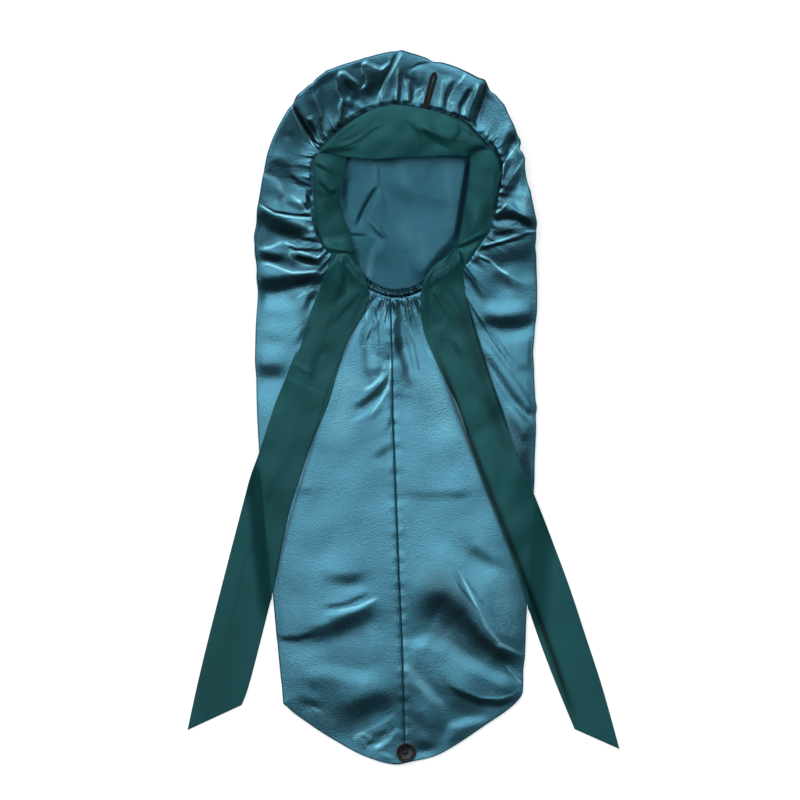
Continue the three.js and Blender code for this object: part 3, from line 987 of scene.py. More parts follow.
RIGHT_LEANS: tuple[Lean, ...] = leans_from((
    (-26, 12, 10, 0.3, 507, 160, 510, 178, 508, 194),
    (-7, 8, 6, 0.35, 488, 252, 500, 262, 512, 268),
    (-16, 9, 9, 0.2, 490, 232, 512, 234, 532, 234),
    (14, 3.5, 3.5, 0.4, 521, 148, 517, 153),
    (-20, 3.5, 3.5, 0.25, 510, 161, 503, 173, 500, 184),
    (5, 1.1, 1.1, 0.08, 525, 157, 518, 167, 511, 178, 503, 189, 496, 198),
    (-20, 5, 5, 0.25, 522, 168, 512, 184, 502, 197),
    (8, 1.6, 1.6, 0.3, 528, 162, 525, 178),
    (14, 6, 5, 0.3, 525, 184, 521, 196, 523, 210),
    (9, 3.5, 3.5, 0.4, 511, 201, 518, 206),
    (13, 1.2, 1.2, 0.12, 491, 214, 499, 211, 505, 205, 509, 202),
    (16, 2.2, 2.2, 0.2, 509, 204, 520, 212, 532, 218),
    (-30, 5, 5, 0.12, 492, 219, 503, 215, 515, 216, 527, 222, 534, 226),
    (-12, 1.3, 1.3, 0.1, 491, 227.5, 497, 228.5, 510, 227, 516, 224.5, 521, 227, 519, 231),
    (-22, 2.6, 2.6, 0.2, 493, 234, 515, 231),
    (14, 1.1, 1.1, 0.08, 537, 230, 526, 232, 519, 236, 505, 240, 490, 244, 480, 246),
    (-30, 1.4, 1.4, 0.1, 530, 232, 519, 238.3, 505, 242.3, 490, 246.3, 478, 249),
    (-16, 10, 10, 0.2, 484, 256, 505, 254, 532, 252),
    (14, 1.2, 1.5, 0.1, 474, 253, 483, 257, 490, 260, 497, 267, 506, 273, 517, 279, 527, 284),
    (-22, 1.4, 1.4, 0.2, 475, 256, 490, 262),
    (8, 8, 8, 0.4, 484, 272, 492, 292),
    (-18, 5.5, 5.5, 0.25, 499, 271, 507, 280, 515, 291),
    (8, 6.5, 6.5, 0.4, 520, 274, 531, 283),
    (-22, 3.8, 3.8, 0.2, 464, 272, 471, 280, 477, 290, 483, 301),
    (-10, 3, 3, 0.4, 471, 264, 475, 262),
    (8, 7, 6, 0.25, 484, 303, 502, 308, 528, 305),
    (-24, 7, 7, 0.12, 482, 319, 500, 323, 518, 322, 535, 318),
    (8, 7, 6, 0.25, 494, 343, 512, 340, 528, 333),
    (15, 1.2, 1.2, 0.06, 462, 287, 468, 296, 475, 308, 483, 320, 492, 334, 500, 347, 508, 360, 514, 373),
    (-16, 1.8, 1.8, 0.1, 463, 291, 469, 302, 478, 317, 487, 331, 497, 346, 505, 358, 511, 369),
    (-15, 1.2, 1.2, 0.2, 490, 328, 500, 342, 506, 351, 513, 363),
    (9, 1.9, 1.9, 0.06, 474, 328, 481, 336, 490, 346, 500, 359, 509, 371, 518, 382, 525, 394, 531, 405,
     537, 411),
    (-19, 4.2, 4.2, 0.1, 483, 350, 494, 366, 505, 382, 515, 397, 526, 409, 537, 414),
    (9, 2.2, 2.2, 0.08, 487, 366, 493, 378, 500, 390, 508, 401, 518, 412, 527, 421, 537, 426),
    (8, 8, 8, 0.45, 512, 350, 520, 348),
    (-11, 2, 2, 0.25, 529.5, 336, 530, 370),
    (-9, 4, 4, 0.35, 516, 366, 529, 370),
    (-20, 6, 6, 0.25, 504, 403, 512, 420, 522, 436, 532, 440),
    (-30, 7, 7, 0.25, 521, 454, 530, 480),
    (-18, 14, 14, 0.2, 512, 418, 524, 450, 532, 486),
    (-6, 7, 7, 0.3, 448, 84, 462, 88, 474, 94),
))
LEFT_LEANS: tuple[Lean, ...] = leans_from((
    (-8, 8, 8, 0.3, 264, 166, 282, 172, 300, 174),
    (-4, 7, 6, 0.3, 262, 180, 280, 176, 302, 176),
    (-8, 6, 6, 0.25, 258, 258, 280, 262, 312, 262),
    (-4, 5, 5, 0.35, 296, 226, 312, 232),
    (-15, 3.5, 3.5, 0.45, 286, 132, 291, 138),
    (-16, 5, 5, 0.3, 271, 160, 281, 164, 291, 169),
    (-18, 2, 2, 0.15, 289, 175, 300, 182, 313, 188),
    (-14, 1.6, 1.6, 0.2, 291, 181, 303, 187, 312, 192),
    (-40, 2.6, 2.6, 0.2, 307.5, 192, 309.5, 210),
    (12, 3, 3, 0.15, 261, 173, 268, 177, 276, 182, 282, 188, 286, 195, 288, 203, 291, 210),
    (14, 1.4, 1.4, 0.1, 283, 187, 292, 196, 300, 202, 304, 209, 308, 213, 313, 215),
    (2, 2, 2, 0.3, 290, 191, 304, 197),
    (12, 2.6, 2.6, 0.2, 276, 200, 284, 208, 296, 213),
    (-8, 6, 6, 0.35, 263, 186, 270, 196),
    (-11, 3.4, 3.4, 0.3, 292, 203, 300, 211),
    (-20, 1.3, 1.3, 0.1, 264, 206, 275, 212.5, 290, 214.6, 312, 216.6),
    (15, 1.2, 1.2, 0.08, 257, 204, 268, 210, 276, 214.3, 290, 216.8, 314, 219),
    (11, 3.4, 3.4, 0.2, 291, 219, 303, 222, 310, 228, 312, 237),
    (-29, 8, 8, 0.15, 259, 213, 272, 223, 288, 230, 306, 237),
    (-14, 3.5, 3.5, 0.4, 256, 218, 262, 214),
    (8, 2.1, 2.1, 0.1, 255, 241, 259, 248, 266, 249, 274, 246, 281, 243, 289, 243.5, 298, 248),
    (-26, 1.8, 1.8, 0.25, 289, 245.5, 298, 251),
    (-22, 2, 2, 0.2, 299, 238, 320, 242),
    (-8, 2.4, 2.4, 0.2, 294, 243.5, 322, 247.5),
    (-18, 4.6, 4.6, 0.2, 259, 254, 274, 258, 286, 258),
    (-26, 1.3, 1.3, 0.15, 295, 249.5, 330, 251),
    (2, 1.3, 1.3, 0.06, 329, 258, 322, 255.5, 316, 257, 308, 254, 298, 251.4, 291, 251, 287.5, 254.5, 291,
     260, 298, 264, 308, 267, 318, 269, 327, 272),
    (-29, 3.2, 3.2, 0.15, 295, 256.5, 305, 260, 318, 263),
    (6, 4.4, 4.4, 0.3, 260, 266, 270, 267, 278, 270),
    (14, 1.3, 1.3, 0.08, 259, 263, 270, 263.5, 278, 267, 286, 272, 293, 273.4, 302, 273, 313, 271.5, 326,
     273),
    (-30, 7.5, 7, 0.1, 258, 285, 275, 285, 292, 282, 308, 279, 324, 278),
    (-4, 1.8, 1.8, 0.1, 322, 283, 312, 289, 303, 294, 293, 298),
    (-20, 3.6, 3.6, 0.25, 318, 289, 309, 299, 305, 312),
    (8, 8, 7, 0.3, 260, 306, 280, 304, 296, 306),
    (7, 9, 9, 0.3, 258, 324, 276, 326, 290, 328),
    (-5, 1.8, 1.8, 0.15, 309, 318, 300, 325, 291, 333),
    (-16, 4.2, 4.2, 0.25, 309, 323, 303, 333, 297, 345),
    (8, 8, 7, 0.35, 262, 348, 284, 350),
    (-18, 8, 8, 0.15, 254, 370, 270, 371, 286, 371),
    (8, 9, 9, 0.45, 262, 392, 266, 400),
    (-11, 3, 3, 0.4, 257, 323, 261, 325),
    (-15, 11, 11, 0.2, 296, 254, 312, 260, 328, 266),
    (-12, 8, 8, 0.3, 304, 294, 318, 294),
    (-9, 6, 6, 0.3, 292, 186, 306, 200),
))
NAPE_LEANS: tuple[Lean, ...] = leans_from((
    (10, 2.6, 2.6, 0.15, 371, 296, 372, 312, 374, 323, 372, 331),
    (-13, 1.4, 1.4, 0.15, 373, 300, 376, 311, 377, 322, 376.5, 330),
    (-13, 1.1, 1.1, 0.2, 372, 328, 369, 335, 367, 341),
    (9, 3.2, 3.2, 0.2, 374, 332, 373, 344, 376, 356, 382, 364, 388, 368),
    (-9, 3.8, 3.8, 0.2, 364, 322, 362, 345, 365, 362, 369, 374),
    (-12, 4.6, 4.6, 0.35, 367, 371, 376, 372, 381, 370),
    (12, 1.6, 1.6, 0.15, 388, 364, 387, 372, 381, 380, 374, 385, 365, 388),
    (-13, 3.8, 3.8, 0.15, 389, 372, 385, 382, 378, 392, 370, 398, 361, 404, 352, 409),
    (11, 1.6, 1.6, 0.1, 391, 352, 391, 366, 390, 378, 387, 388, 382, 397, 373, 407, 362, 416, 350, 422),
    (-6, 3, 3, 0.3, 384, 405, 376, 414, 369, 422),
    (-11, 1.3, 1.3, 0.25, 390, 404, 392, 411, 391, 418),
    (-12, 1.2, 1.2, 0.25, 392, 418, 397, 426),
    (-8, 2, 2, 0.3, 391, 420, 386, 432),
    (-34, 5, 4.4, 0.15, 395, 314, 397, 335, 399, 350, 404, 365, 408, 378),
    (9, 1.3, 1.3, 0.3, 394, 334, 400, 332),
    (9, 1.3, 1.3, 0.3, 394, 318, 399, 315),
    (8, 2.6, 2.6, 0.15, 404, 306, 403, 322, 405, 336, 409, 350, 412, 365, 416, 385, 420, 402),
    (-14, 1.4, 1.4, 0.15, 406, 318, 408, 332, 413, 345, 417, 358, 421, 370),
    (9, 2.8, 2.8, 0.2, 409, 322, 414, 334, 421, 346, 430, 360),
    (-9, 3.2, 3.2, 0.4, 409, 314, 414, 318),
    (-8, 2.4, 2.4, 0.3, 417, 308, 421, 326),
    (-5, 5, 5, 0.35, 400, 378, 404, 394, 413, 404),
    (-16, 1.4, 1.4, 0.25, 380, 301, 380, 311),
    (-18, 1.8, 1.8, 0.25, 399, 301, 398, 309),
    (-11, 1.1, 1.1, 0.25, 390.5, 299, 391, 313),
    (5, 3, 3, 0.25, 366, 300, 360, 322, 352, 346),
    (5, 8, 8, 0.25, 418, 342, 428, 366, 440, 398),
))
TAIL_LEANS: tuple[Lean, ...] = leans_from((
    (4, 9, 9, 0.45, 350, 372, 346, 400),
    (6, 18, 16, 0.4, 430, 385, 440, 420, 446, 452),
    (-9, 4.2, 4.6, 0.3, 392, 446, 384, 451, 372, 458),
    (4, 3, 3, 0.4, 392, 455, 388, 470),
    (-3, 4, 4, 0.4, 401, 442, 408, 458),
    (-4.5, 5, 5, 0.25, 397, 493, 425, 496, 452, 494, 480, 492),
    (-4, 5, 5, 0.4, 450, 496, 468, 496),
    (-5, 4.6, 4.6, 0.35, 297, 491, 314, 492),
    (-4, 4, 4, 0.4, 397, 492, 399, 506),
    (-4, 5, 5, 0.35, 402, 512, 405, 530, 406, 548),
    (5, 11, 9, 0.3, 420, 540, 445, 547, 465, 562, 474, 578),
    (-12, 6.5, 6, 0.3, 466, 545, 482, 556, 502, 568),
    (-10, 6, 6, 0.3, 326, 578, 346, 579, 368, 576),
    (4, 4, 4, 0.35, 335, 591, 372, 588),
    (-10, 2.8, 2.6, 0.2, 322, 607, 344, 604, 358, 598, 369, 593),
    (12, 2, 2.4, 0.15, 324, 613, 343, 611.6, 357, 608, 368, 602, 378, 596),
    (-15, 11, 7, 0.22, 381, 606, 370, 610, 358, 616, 343, 623, 326, 630, 304, 636),
    (-8, 10, 10, 0.4, 360, 616, 345, 621, 330, 626),
    (-12, 2.6, 3.2, 0.2, 318, 633, 296, 639, 276, 638),
    (5, 8, 8, 0.35, 290, 652, 330, 654),
    (8, 8, 8, 0.25, 296, 668, 330, 670, 360, 677, 386, 672),
    (-9, 5, 5, 0.4, 308, 684, 319, 685),
    (-11, 4.4, 4.4, 0.35, 300, 700, 322, 705),
    (9, 1.8, 1.8, 0.25, 311, 706, 322, 713),
    (-16, 11, 12, 0.22, 345, 718, 358, 709, 374, 702, 396, 697),
    (4, 2.2, 2.2, 0.12, 351, 737, 362, 733, 372, 728, 384, 721, 398, 711),
    (12, 1.8, 1.8, 0.25, 361, 737, 368, 749),
    (13, 2.2, 2.2, 0.15, 372, 748, 381, 745, 389, 739, 397, 727),
    (10, 2.6, 2.6, 0.3, 379, 752, 393, 757),
    (-8, 2.8, 2.8, 0.25, 374, 736, 389, 730),
    (-14, 2, 2, 0.3, 366, 745, 373, 740),
    (15, 1.6, 1.5, 0.06, 455, 580, 467, 596, 479, 612, 488, 628, 497, 644, 510, 649, 526, 656),
    (-14, 13, 27, 0.14, 420, 596, 444, 602, 462, 616, 478, 637, 496, 654, 516, 664),
    (-15, 15, 17, 0.2, 418, 604, 438, 606, 456, 618, 472, 634),
    (-10, 6, 8, 0.16, 462, 616, 478, 638, 497, 653, 523, 661),
    (-12, 2.6, 2, 0.15, 460, 572, 472, 589, 483, 604, 492, 622),
    (-4, 2.8, 2.8, 0.2, 495, 633, 519, 643),
    (6, 3, 3, 0.3, 450, 566, 462, 583, 474, 602),
    (-9, 4.5, 4.5, 0.45, 519, 613, 524, 614),
    (-4, 3.5, 3.5, 0.45, 498, 595, 502, 598),
    (-3, 8, 8, 0.35, 492, 596, 500, 612, 510, 630),
    (8, 1.8, 1.8, 0.3, 516, 640, 523, 655),
    (11, 6.5, 6.5, 0.12, 405, 645, 428, 640, 447, 648, 467, 661, 487, 672, 508, 681, 520, 686),
    (-17, 2.5, 4, 0.2, 446, 684, 461, 693, 479, 700.5, 500, 702.5, 517, 697),
    (-7, 9, 9, 0.3, 434, 682, 454, 702, 474, 714),
    (6, 1.4, 1.4, 0.15, 467, 690, 482, 697, 499, 697.5, 512, 694.5, 518, 687),
    (13, 1, 1, 0.15, 508, 663, 523, 680),
    (11, 1.3, 1.3, 0.2, 504, 674, 519, 686),
    (14, 4.6, 4.6, 0.18, 408, 664, 417, 680, 431, 694, 442, 706),
    (-14, 8.5, 8.5, 0.25, 406, 688, 416, 712, 430, 734),
    (11, 5, 5, 0.2, 446, 744, 452, 726, 467, 721, 489, 718),
    (-15, 6, 6, 0.35, 414, 744, 436, 748),
))
ALL_LEANS: tuple[Lean, ...] = CROWN_LEANS + RIGHT_LEANS + LEFT_LEANS + NAPE_LEANS + TAIL_LEANS

CENTRE_SEAM: Line = (
    (391, 299), (391.5, 340), (393, 420), (396, 500), (399, 580), (402, 641), (403.5, 703), (405, 762),
)


# Dents and bumps of the outline: X, Y, how far out, half-width.

OUTLINE_BUMPS: tuple[tuple[float, float, float, float], ...] = (
    (289, 102, -2.4, 4),
    (297, 95, 1.2, 5),
    (313, 84, -1.4, 4),
    (327, 72, 0.8, 3),
    (402, 52, 1, 5),
    (434, 61, -1.6, 5),
    (485, 81, 2.4, 5),
    (491, 92, -1.8, 4),
    (505, 106, 1, 6),
    (520, 141, 1.8, 5),
    (521.5, 149, -1.6, 3),
    (526.5, 159, 1.4, 5),
    (533, 190, 0.8, 5),
    (537, 224, 1.2, 5),
    (535, 247, -1.2, 6),
    (254, 236, 1, 7),
    (257, 268, -1, 8),
    (534, 352, -0.8, 10),
    (537.5, 408, 1, 6),
    (283.5, 703.5, 1.6, 3.5),
    (520, 693, 1, 5),
)


# Painted light and shade on the cloth: painted highlights and painted shade along the folds, and painted
# shadows beside the band and ties. Columns: how much lighter or darker, half-width, then X and Y of each plan
# point.

SATIN_PAINTED_SHADING: Rows = (
    (-0.75, 4.5, 486, 80, 484, 92, 479, 106, 473, 122, 471, 130),
    (0.5, 1.1, 478, 84, 476, 93, 473, 101),
    (-0.6, 6.5, 517, 130, 512, 140, 507, 150),
    (-0.7, 3.2, 509, 146, 504, 158, 500, 172, 497, 182),
    (0.9, 0.8, 520, 142, 510, 155, 504, 164, 500, 175, 496, 188),
    (0.65, 0.8, 525, 156, 519, 166, 513, 176, 504, 188, 494, 199),
    (-0.5, 4, 513, 159, 504, 175, 498, 192),
    (0.4, 3, 519, 145, 522, 155),
    (-0.35, 4, 522, 164, 514, 182, 506, 192),
    (-0.6, 6, 517, 181, 507, 194, 497, 208),
    (0.9, 0.9, 491, 215, 499, 211, 507, 204),
    (-0.65, 5, 492, 221, 510, 217, 524, 221, 535, 228),
    (0.7, 1.2, 490, 228, 503, 228, 511, 227.5, 518, 225, 523, 229),
    (-0.55, 3, 486, 235, 500, 233, 515, 231),
    (0.75, 0.7, 481, 245.5, 491, 243.5, 504, 239.5, 516, 235, 522, 232),
    (-0.9, 1, 488, 246.5, 504, 241.5, 517, 236.6, 527, 229),
    (0.6, 0.8, 526, 232, 537, 231),
    (-0.8, 2.5, 476, 251, 485, 249, 493, 250),
    (0.8, 0.8, 476, 253.5, 485, 258, 491, 261, 496, 266.5, 502, 271, 510, 275),
    (-0.8, 1.1, 474, 257, 484, 260, 490, 263),
    (-0.45, 5, 492, 269, 501, 282, 513, 289),
    (0.9, 0.8, 290, 101, 294, 114, 300, 126, 307, 138, 317, 151),
    (-0.85, 2.8, 292.5, 102, 297, 113, 304, 124, 311, 135, 319, 148),
    (-0.8, 2, 293, 102, 301, 96),
    (0.5, 0.9, 303, 117, 311, 120.5, 315, 122, 317.5, 133, 320.5, 141, 326, 145),
    (0.35, 0.9, 303.5, 118, 309, 129, 316, 139, 321, 148),
    (-0.75, 2.6, 307, 120, 312, 127, 317, 135),
    (0.4, 0.8, 312, 91, 315, 99, 320, 111, 322, 119),
    (-0.8, 2.2, 320, 116, 321.5, 128, 325, 141),
    (-0.4, 6, 308, 92, 311, 104, 316, 114),
    (-0.8, 3, 345, 100, 341, 116, 338, 132),
    (0.6, 1.1, 336.5, 80, 337, 90, 342, 100, 339, 108, 340, 116, 336, 124),
    (0.6, 1.1, 323, 131, 329, 140, 333, 139),
    (-0.7, 3, 326, 131, 333, 133),
    (-0.4, 3.5, 287, 128, 294, 138),
    (-0.65, 1.8, 289, 175, 299, 182, 314, 189),
    (0.3, 2.6, 261, 173, 275, 179, 279, 184, 283, 193, 285, 206),
    (0.6, 1, 289, 194, 299, 202, 306, 211),
    (-0.5, 3, 308, 192, 309, 213),
    (0.9, 0.8, 258, 204, 273, 213, 284.5, 216.5, 297.5, 218.4, 313, 218.6),
    (-0.85, 1, 268, 209, 278, 212.5, 296, 215.2, 314, 216.6),
    (0.8, 0.9, 297, 199, 302, 204, 306, 211.5, 313, 215),
    (-0.5, 6, 275, 229, 296, 233, 310, 237),
    (0.45, 2.2, 300, 222, 310, 229, 311.5, 236),
    (0.15, 2.5, 266, 221, 259, 236, 258, 248),
    (0.55, 1.3, 262, 249, 271, 247.5, 279, 243.6, 284, 242.4),
    (0.55, 0.8, 283, 242, 297, 247),
    (-0.85, 1, 288, 241.2, 297, 245.4),
    (0.35, 2, 296, 245.4, 308, 247.5, 324, 253),
    (-0.7, 1.6, 305, 239, 322, 243),
    (-0.5, 5, 257, 256, 273, 257, 288, 258.5),
    (0.9, 0.8, 331, 256.7, 324, 256, 317.4, 257.4, 311.3, 255.1, 300.5, 252.1, 292.9, 251.7, 289, 254.4,
     290.6, 258.2, 296, 261.3, 305.1, 265.1, 317.4, 266.6, 326, 270),
    (-0.8, 2.8, 294, 255.5, 306, 259, 320, 262.5),
    (-0.6, 2.2, 288, 264, 300, 268.4, 320, 270),
    (0.8, 0.9, 260, 266.5, 267.6, 264.3, 275.3, 266.6, 284.5, 270.4, 293, 272.7, 303.6, 272.4, 312.8,
     271.6, 325, 272.5),
    (-0.5, 6, 290, 284, 304, 281.5, 325, 275.5),
    (0.5, 1.4, 322, 283, 313, 289, 303.5, 293.5, 295, 299.5),
    (-0.4, 5, 313, 291, 305, 311),
    (0.6, 1, 337, 82, 339.5, 74, 345.5, 73, 354.5, 81, 361, 86.5),
    (0.75, 0.9, 359, 91.5, 366, 84.3, 366, 77.5, 362.2, 70.7, 362.2, 65.4, 366.7, 63.2, 374.3, 67.7, 381.8,
     69.9, 389, 65.5),
    (0.6, 1, 402, 53, 397, 63, 392.4, 72.2, 385, 83, 380.3, 93.3, 378.5, 105),
    (0.5, 0.9, 397, 66, 397.4, 83, 395.4, 99),
    (-0.65, 1.6, 400, 72, 399.6, 88, 398.5, 104),
    (-0.5, 2.2, 398, 56, 391, 68, 383.5, 80, 378, 93),
    (0.5, 0.9, 402.5, 74, 406, 87, 408, 105),
    (0.35, 0.8, 406, 71, 416.6, 64.6, 428.7, 61.9, 442, 62.6),
    (-0.6, 2.2, 408, 76, 410.6, 94, 410.5, 106),
    (0.5, 1, 413.6, 95, 416, 92, 421, 90, 422.8, 96, 417, 101),
    (-0.4, 3, 425, 70, 421, 87),
    (0.45, 1.2, 442.6, 79, 441, 95, 439, 107),
    (-0.55, 1.8, 450, 79, 445.4, 95, 443, 109),
    (0.5, 0.9, 467, 73, 459, 84.3, 450, 96.4, 446.5, 107),
    (0.5, 0.9, 449, 106, 451.6, 102.4, 453.8, 111),
    (-0.65, 2.4, 470, 87, 464, 98, 459, 106, 457, 117),
    (0.5, 1.1, 476, 86, 469.4, 99.4, 465, 108.4, 463.2, 119),
    (-0.5, 3.5, 343, 78, 349, 86, 357, 96),
    (-0.5, 4, 371, 74, 372, 88, 366, 99),
    (-0.4, 5, 264, 244, 290, 246),
    (-0.45, 6, 290, 248, 330, 252),
    (-0.3, 6, 260, 266, 290, 265),
    (-0.5, 7, 296, 267, 330, 271),
    (-0.5, 6, 298, 287, 326, 284),
    (-0.4, 6, 282, 295, 310, 298),
    (-0.45, 7, 309, 296, 304, 314, 303, 334),
    (-0.4, 4, 299, 190, 309, 200),
    (-0.3, 5, 290, 213, 310, 213),
    (-0.35, 6, 258, 205, 280, 205),
    (-0.5, 6, 258, 236, 280, 237),
    (-0.2, 7, 303, 148, 303, 180),
    (-0.4, 8, 518, 152, 513, 176, 504, 194),
    (-0.5, 5, 482, 152, 492, 158),
    (-0.4, 4, 498, 207, 510, 206),
    (-0.5, 4.5, 494, 224.5, 522, 226),
    (-0.6, 4.5, 483, 237, 516, 235),
    (-0.45, 5, 476, 246, 536, 246),
    (-0.5, 4, 478, 256, 492, 256),
    (0.3, 5, 521, 196, 528, 214),
    (-0.6, 10, 505, 408, 522, 448, 534, 498),
    (-0.8, 1.4, 462, 284, 480, 345, 497, 397, 513, 440, 536, 494),
    (-0.95, 3, 428, 330, 436, 352, 447, 384, 457, 412, 468, 440, 477, 463, 488, 492, 499, 519, 510, 546,
     530, 598),
    (-0.6, 15, 412, 584, 440, 582, 462, 602, 480, 628),
    (-0.5, 12, 418, 624, 445, 634, 466, 648, 492, 662),
    (-0.5, 8, 468, 618, 486, 640, 514, 664),
    (0.6, 1.6, 456, 564, 470, 593, 487, 627, 500, 643, 525, 656),
    (0.6, 1, 505, 664, 523, 685),
    (-0.4, 7, 436, 671, 452, 688, 468, 702, 492, 709),
    (0.2, 6, 404, 660, 421, 683, 441, 710),
    (-0.35, 10, 404, 722, 418, 738, 432, 752),
    (0.4, 2, 352, 740, 362, 733, 373, 737),
    (0.4, 2, 374, 749, 384, 738, 391, 726),
    (-0.4, 7, 346, 722, 376, 722),
    (0.15, 6, 316, 711, 340, 727),
    (-0.4, 7, 330, 632, 352, 635, 372, 629),
    (-0.2, 9, 282, 651, 395, 652),
    (-0.3, 6, 316, 578, 362, 581),
    (0.35, 1.2, 336, 611, 359, 606, 379, 597),
    (-0.2, 8, 464, 526, 482, 568),
    (0.12, 14, 428, 360, 440, 400, 448, 450),
    (0.1, 14, 354, 358, 345, 400, 336, 456),
    (-0.45, 5, 401, 336, 403, 374),
    (-0.3, 6, 387, 442, 379, 464),
    (0.12, 11, 497, 560, 512, 616, 511, 645),
    (0.45, 1, 391, 338, 390.6, 368, 388, 388, 380, 402, 368, 418),
    (0.4, 1.6, 386, 362, 381, 376.7, 371, 387, 361, 391),
    (-0.45, 3, 364.5, 345, 366.5, 372, 374, 384),
    (-0.45, 4, 382, 382, 371, 397.5, 359, 411),
    (-0.55, 4.5, 394, 334, 400, 353, 406, 374, 413, 391),
    (-0.5, 1.3, 405.5, 324, 414.5, 347, 420, 374),
    (-0.6, 1, 372.5, 302, 378, 322.5, 379.3, 349),
    (-0.6, 0.8, 372.5, 325, 366, 342),
    (-0.7, 1.5, 379, 299, 380.5, 312),
    (-0.7, 1.8, 398.8, 301, 400.3, 316),
    (0.45, 1, 368, 302, 366, 320),
    (0.45, 1, 385, 302, 386, 321),
    (0.45, 1, 410, 301, 408.5, 319),
    (0.45, 1, 418, 303, 421, 320),
    (-0.6, 1.8, 370, 296, 350.5, 339, 331.5, 383, 312, 447, 299, 490, 287, 530, 273, 596),
)
BACK_PAINTED_SHADING: Rows = (
    (0.07, 4, 377, 148, 378, 196),
    (-0.55, 1, 377, 187, 366, 204, 356, 221),
    (-0.35, 1.2, 371, 216, 379, 226, 387, 238),
    (-0.3, 1, 354, 231.5, 368, 233.5),
    (0.08, 3, 364, 225, 386, 232),
    (0.05, 6, 397, 160, 409, 192),
    (0.06, 7, 398, 218, 414, 248),
    (0.05, 5, 420, 228, 423, 266),
    (0.09, 3, 374, 246, 370, 268, 366, 286),
    (0.05, 5, 447, 158, 450, 220),
    (-0.5, 3.5, 468, 152, 463, 195, 459, 226, 452, 248),
    (-0.3, 3, 346, 155, 345, 204),
    (-0.15, 9, 384, 240, 388, 272),
)
STRAP_PAINTED_SHADING: Rows = (
    (-0.4, 4, 347, 268, 333, 310, 321, 348),
    (-0.35, 3, 274, 494, 244, 564, 229, 633, 209, 684),
    (0.3, 1.2, 284, 376, 304, 385, 327, 396),
    (-0.6, 1.2, 369, 292, 349, 339, 330, 383, 310, 447, 297, 490, 285, 530, 271, 596),
    (-0.95, 3, 428, 330, 436, 352, 449, 384, 460, 412, 470, 440, 479, 463, 490, 492, 501, 519, 512, 546,
     532, 598, 556, 664, 580, 735),
    (-0.85, 1.6, 462, 284, 479, 345, 496, 397, 512, 440, 535, 494),
    (-0.5, 8, 456, 296, 474, 352, 489, 400, 504, 440, 516, 470),
    (-0.5, 1.2, 320, 152, 336, 150.5, 354, 149.5),
    (-0.3, 1.5, 325, 144, 350, 139, 366, 130, 375, 118),
    (-0.4, 1.5, 412, 121, 422, 141),
    (-0.4, 2, 420, 129, 446, 140, 472, 144),
    (-0.4, 1.5, 475, 119, 469, 139),
    (-0.55, 2.2, 466, 154, 474, 150, 490, 146),
    (-0.25, 5, 491, 200, 486, 228),
    (-0.5, 1.4, 456, 248, 470, 243, 489, 235),
    (-0.4, 2, 314, 165, 334, 174),
    (-0.4, 2, 321, 181, 329, 190, 337, 196),
    (-0.5, 1.6, 321, 246, 340, 251, 358, 254),
    (0.25, 4, 324, 178, 331, 184),
    (0.2, 8, 352, 148, 400, 130),
    (-0.15, 40, 445, 240, 480, 380, 520, 500),
    (-0.22, 40, 350, 250, 318, 380, 270, 520, 190, 760),
)


def painted_fold_shading(x: np.ndarray, y: np.ndarray, strokes: Rows) -> np.ndarray:
    """How much lighter or darker the painted fold shading makes the cloth at plan points, from -1 to 1:
    painted highlights above 0, painted shade and shadows below.

    Args:
        x: X of each point.
        y: Y of each point.
        strokes: The painted shading strokes, laid out as in the tables above.

    Returns:
        The painted tone, where a painted highlight line lies over the painted shade beside it.
    """
    dark = np.zeros(x.shape)
    light = np.zeros(x.shape)
    for amount, half_width, *points in strokes:
        line = row_xy(list(zip(points[::2], points[1::2])))
        low, high = line.min(axis=0) - 2.0 * half_width, line.max(axis=0) + 2.0 * half_width
        near = (x > low[0]) & (x < high[0]) & (y > low[1]) & (y < high[1])
        if not near.any():
            continue
        signed, along, length = along_line(x[near], y[near], line)
        fade = min(TONE_LONGEST_FADE * length, max(TONE_FADE * length, TONE_ROUND_END * half_width))
        ends = smooth(along / fade) * smooth((length - along) / fade)
        stroke = amount * np.exp(-((np.abs(signed) / half_width) ** TONE_SQUARENESS)) * ends
        if amount > 0.0:
            light[near] = np.maximum(light[near], stroke)
        else:
            dark[near] = np.minimum(dark[near], stroke)
    return dark * (1.0 - light) + light


def paint_fold_shading(piece: bpy.types.Object, tone: np.ndarray) -> None:
    """Keeps the painted fold shading on a piece, as a point attribute that its finish mixes into the colour.

    Args:
        piece: The piece.
        tone: One value for each of its points.
    """
    kept = piece.data.attributes.new("painted_fold_shading", "FLOAT", "POINT")
    kept.data.foreach_set("value", tone.reshape(-1).astype(np.float32))


@dataclass(frozen=True)
class Pleats:
    """The small gathers that fan out from a stretch of the seam round the face opening.

    first and last are section lines.
    """

    first: float
    last: float
    spacing: float
    rise: float
    reach: float
    seed: int

    def height(self, place: np.ndarray, away: np.ndarray, per_line: np.ndarray) -> np.ndarray:
        """The gathers' height on the section grid.

        Args:
            place: Place along the seam, in section lines.
            away: Distance out from the seam.
            per_line: Length of the seam per section line there.

        Returns:
            Heights.
        """
        rng = np.random.default_rng(self.seed)
        total = np.zeros(place.shape)
        mean = float(per_line.mean())
        count = len(SECTION_LINES)
        centre = self.first
        while centre < self.last:
            width = rng.uniform(0.26, 0.4) * self.spacing / mean
            rise = self.rise * rng.uniform(0.45, 1.25)
            reach = self.reach * rng.uniform(0.4, 1.3)
            lean = rng.normal(0.0, 0.25) * self.spacing / mean
            offset = (place - centre - lean * away / reach + 0.5 * count) % count - 0.5 * count
            profile = np.exp(-(np.abs(offset / width) ** 1.6))
            envelope = smooth(away / 5.0) * np.exp(-((away / reach) ** 1.5))
            total += rise * profile * envelope
            centre += rng.uniform(0.65, 1.35) * self.spacing / mean
        return total


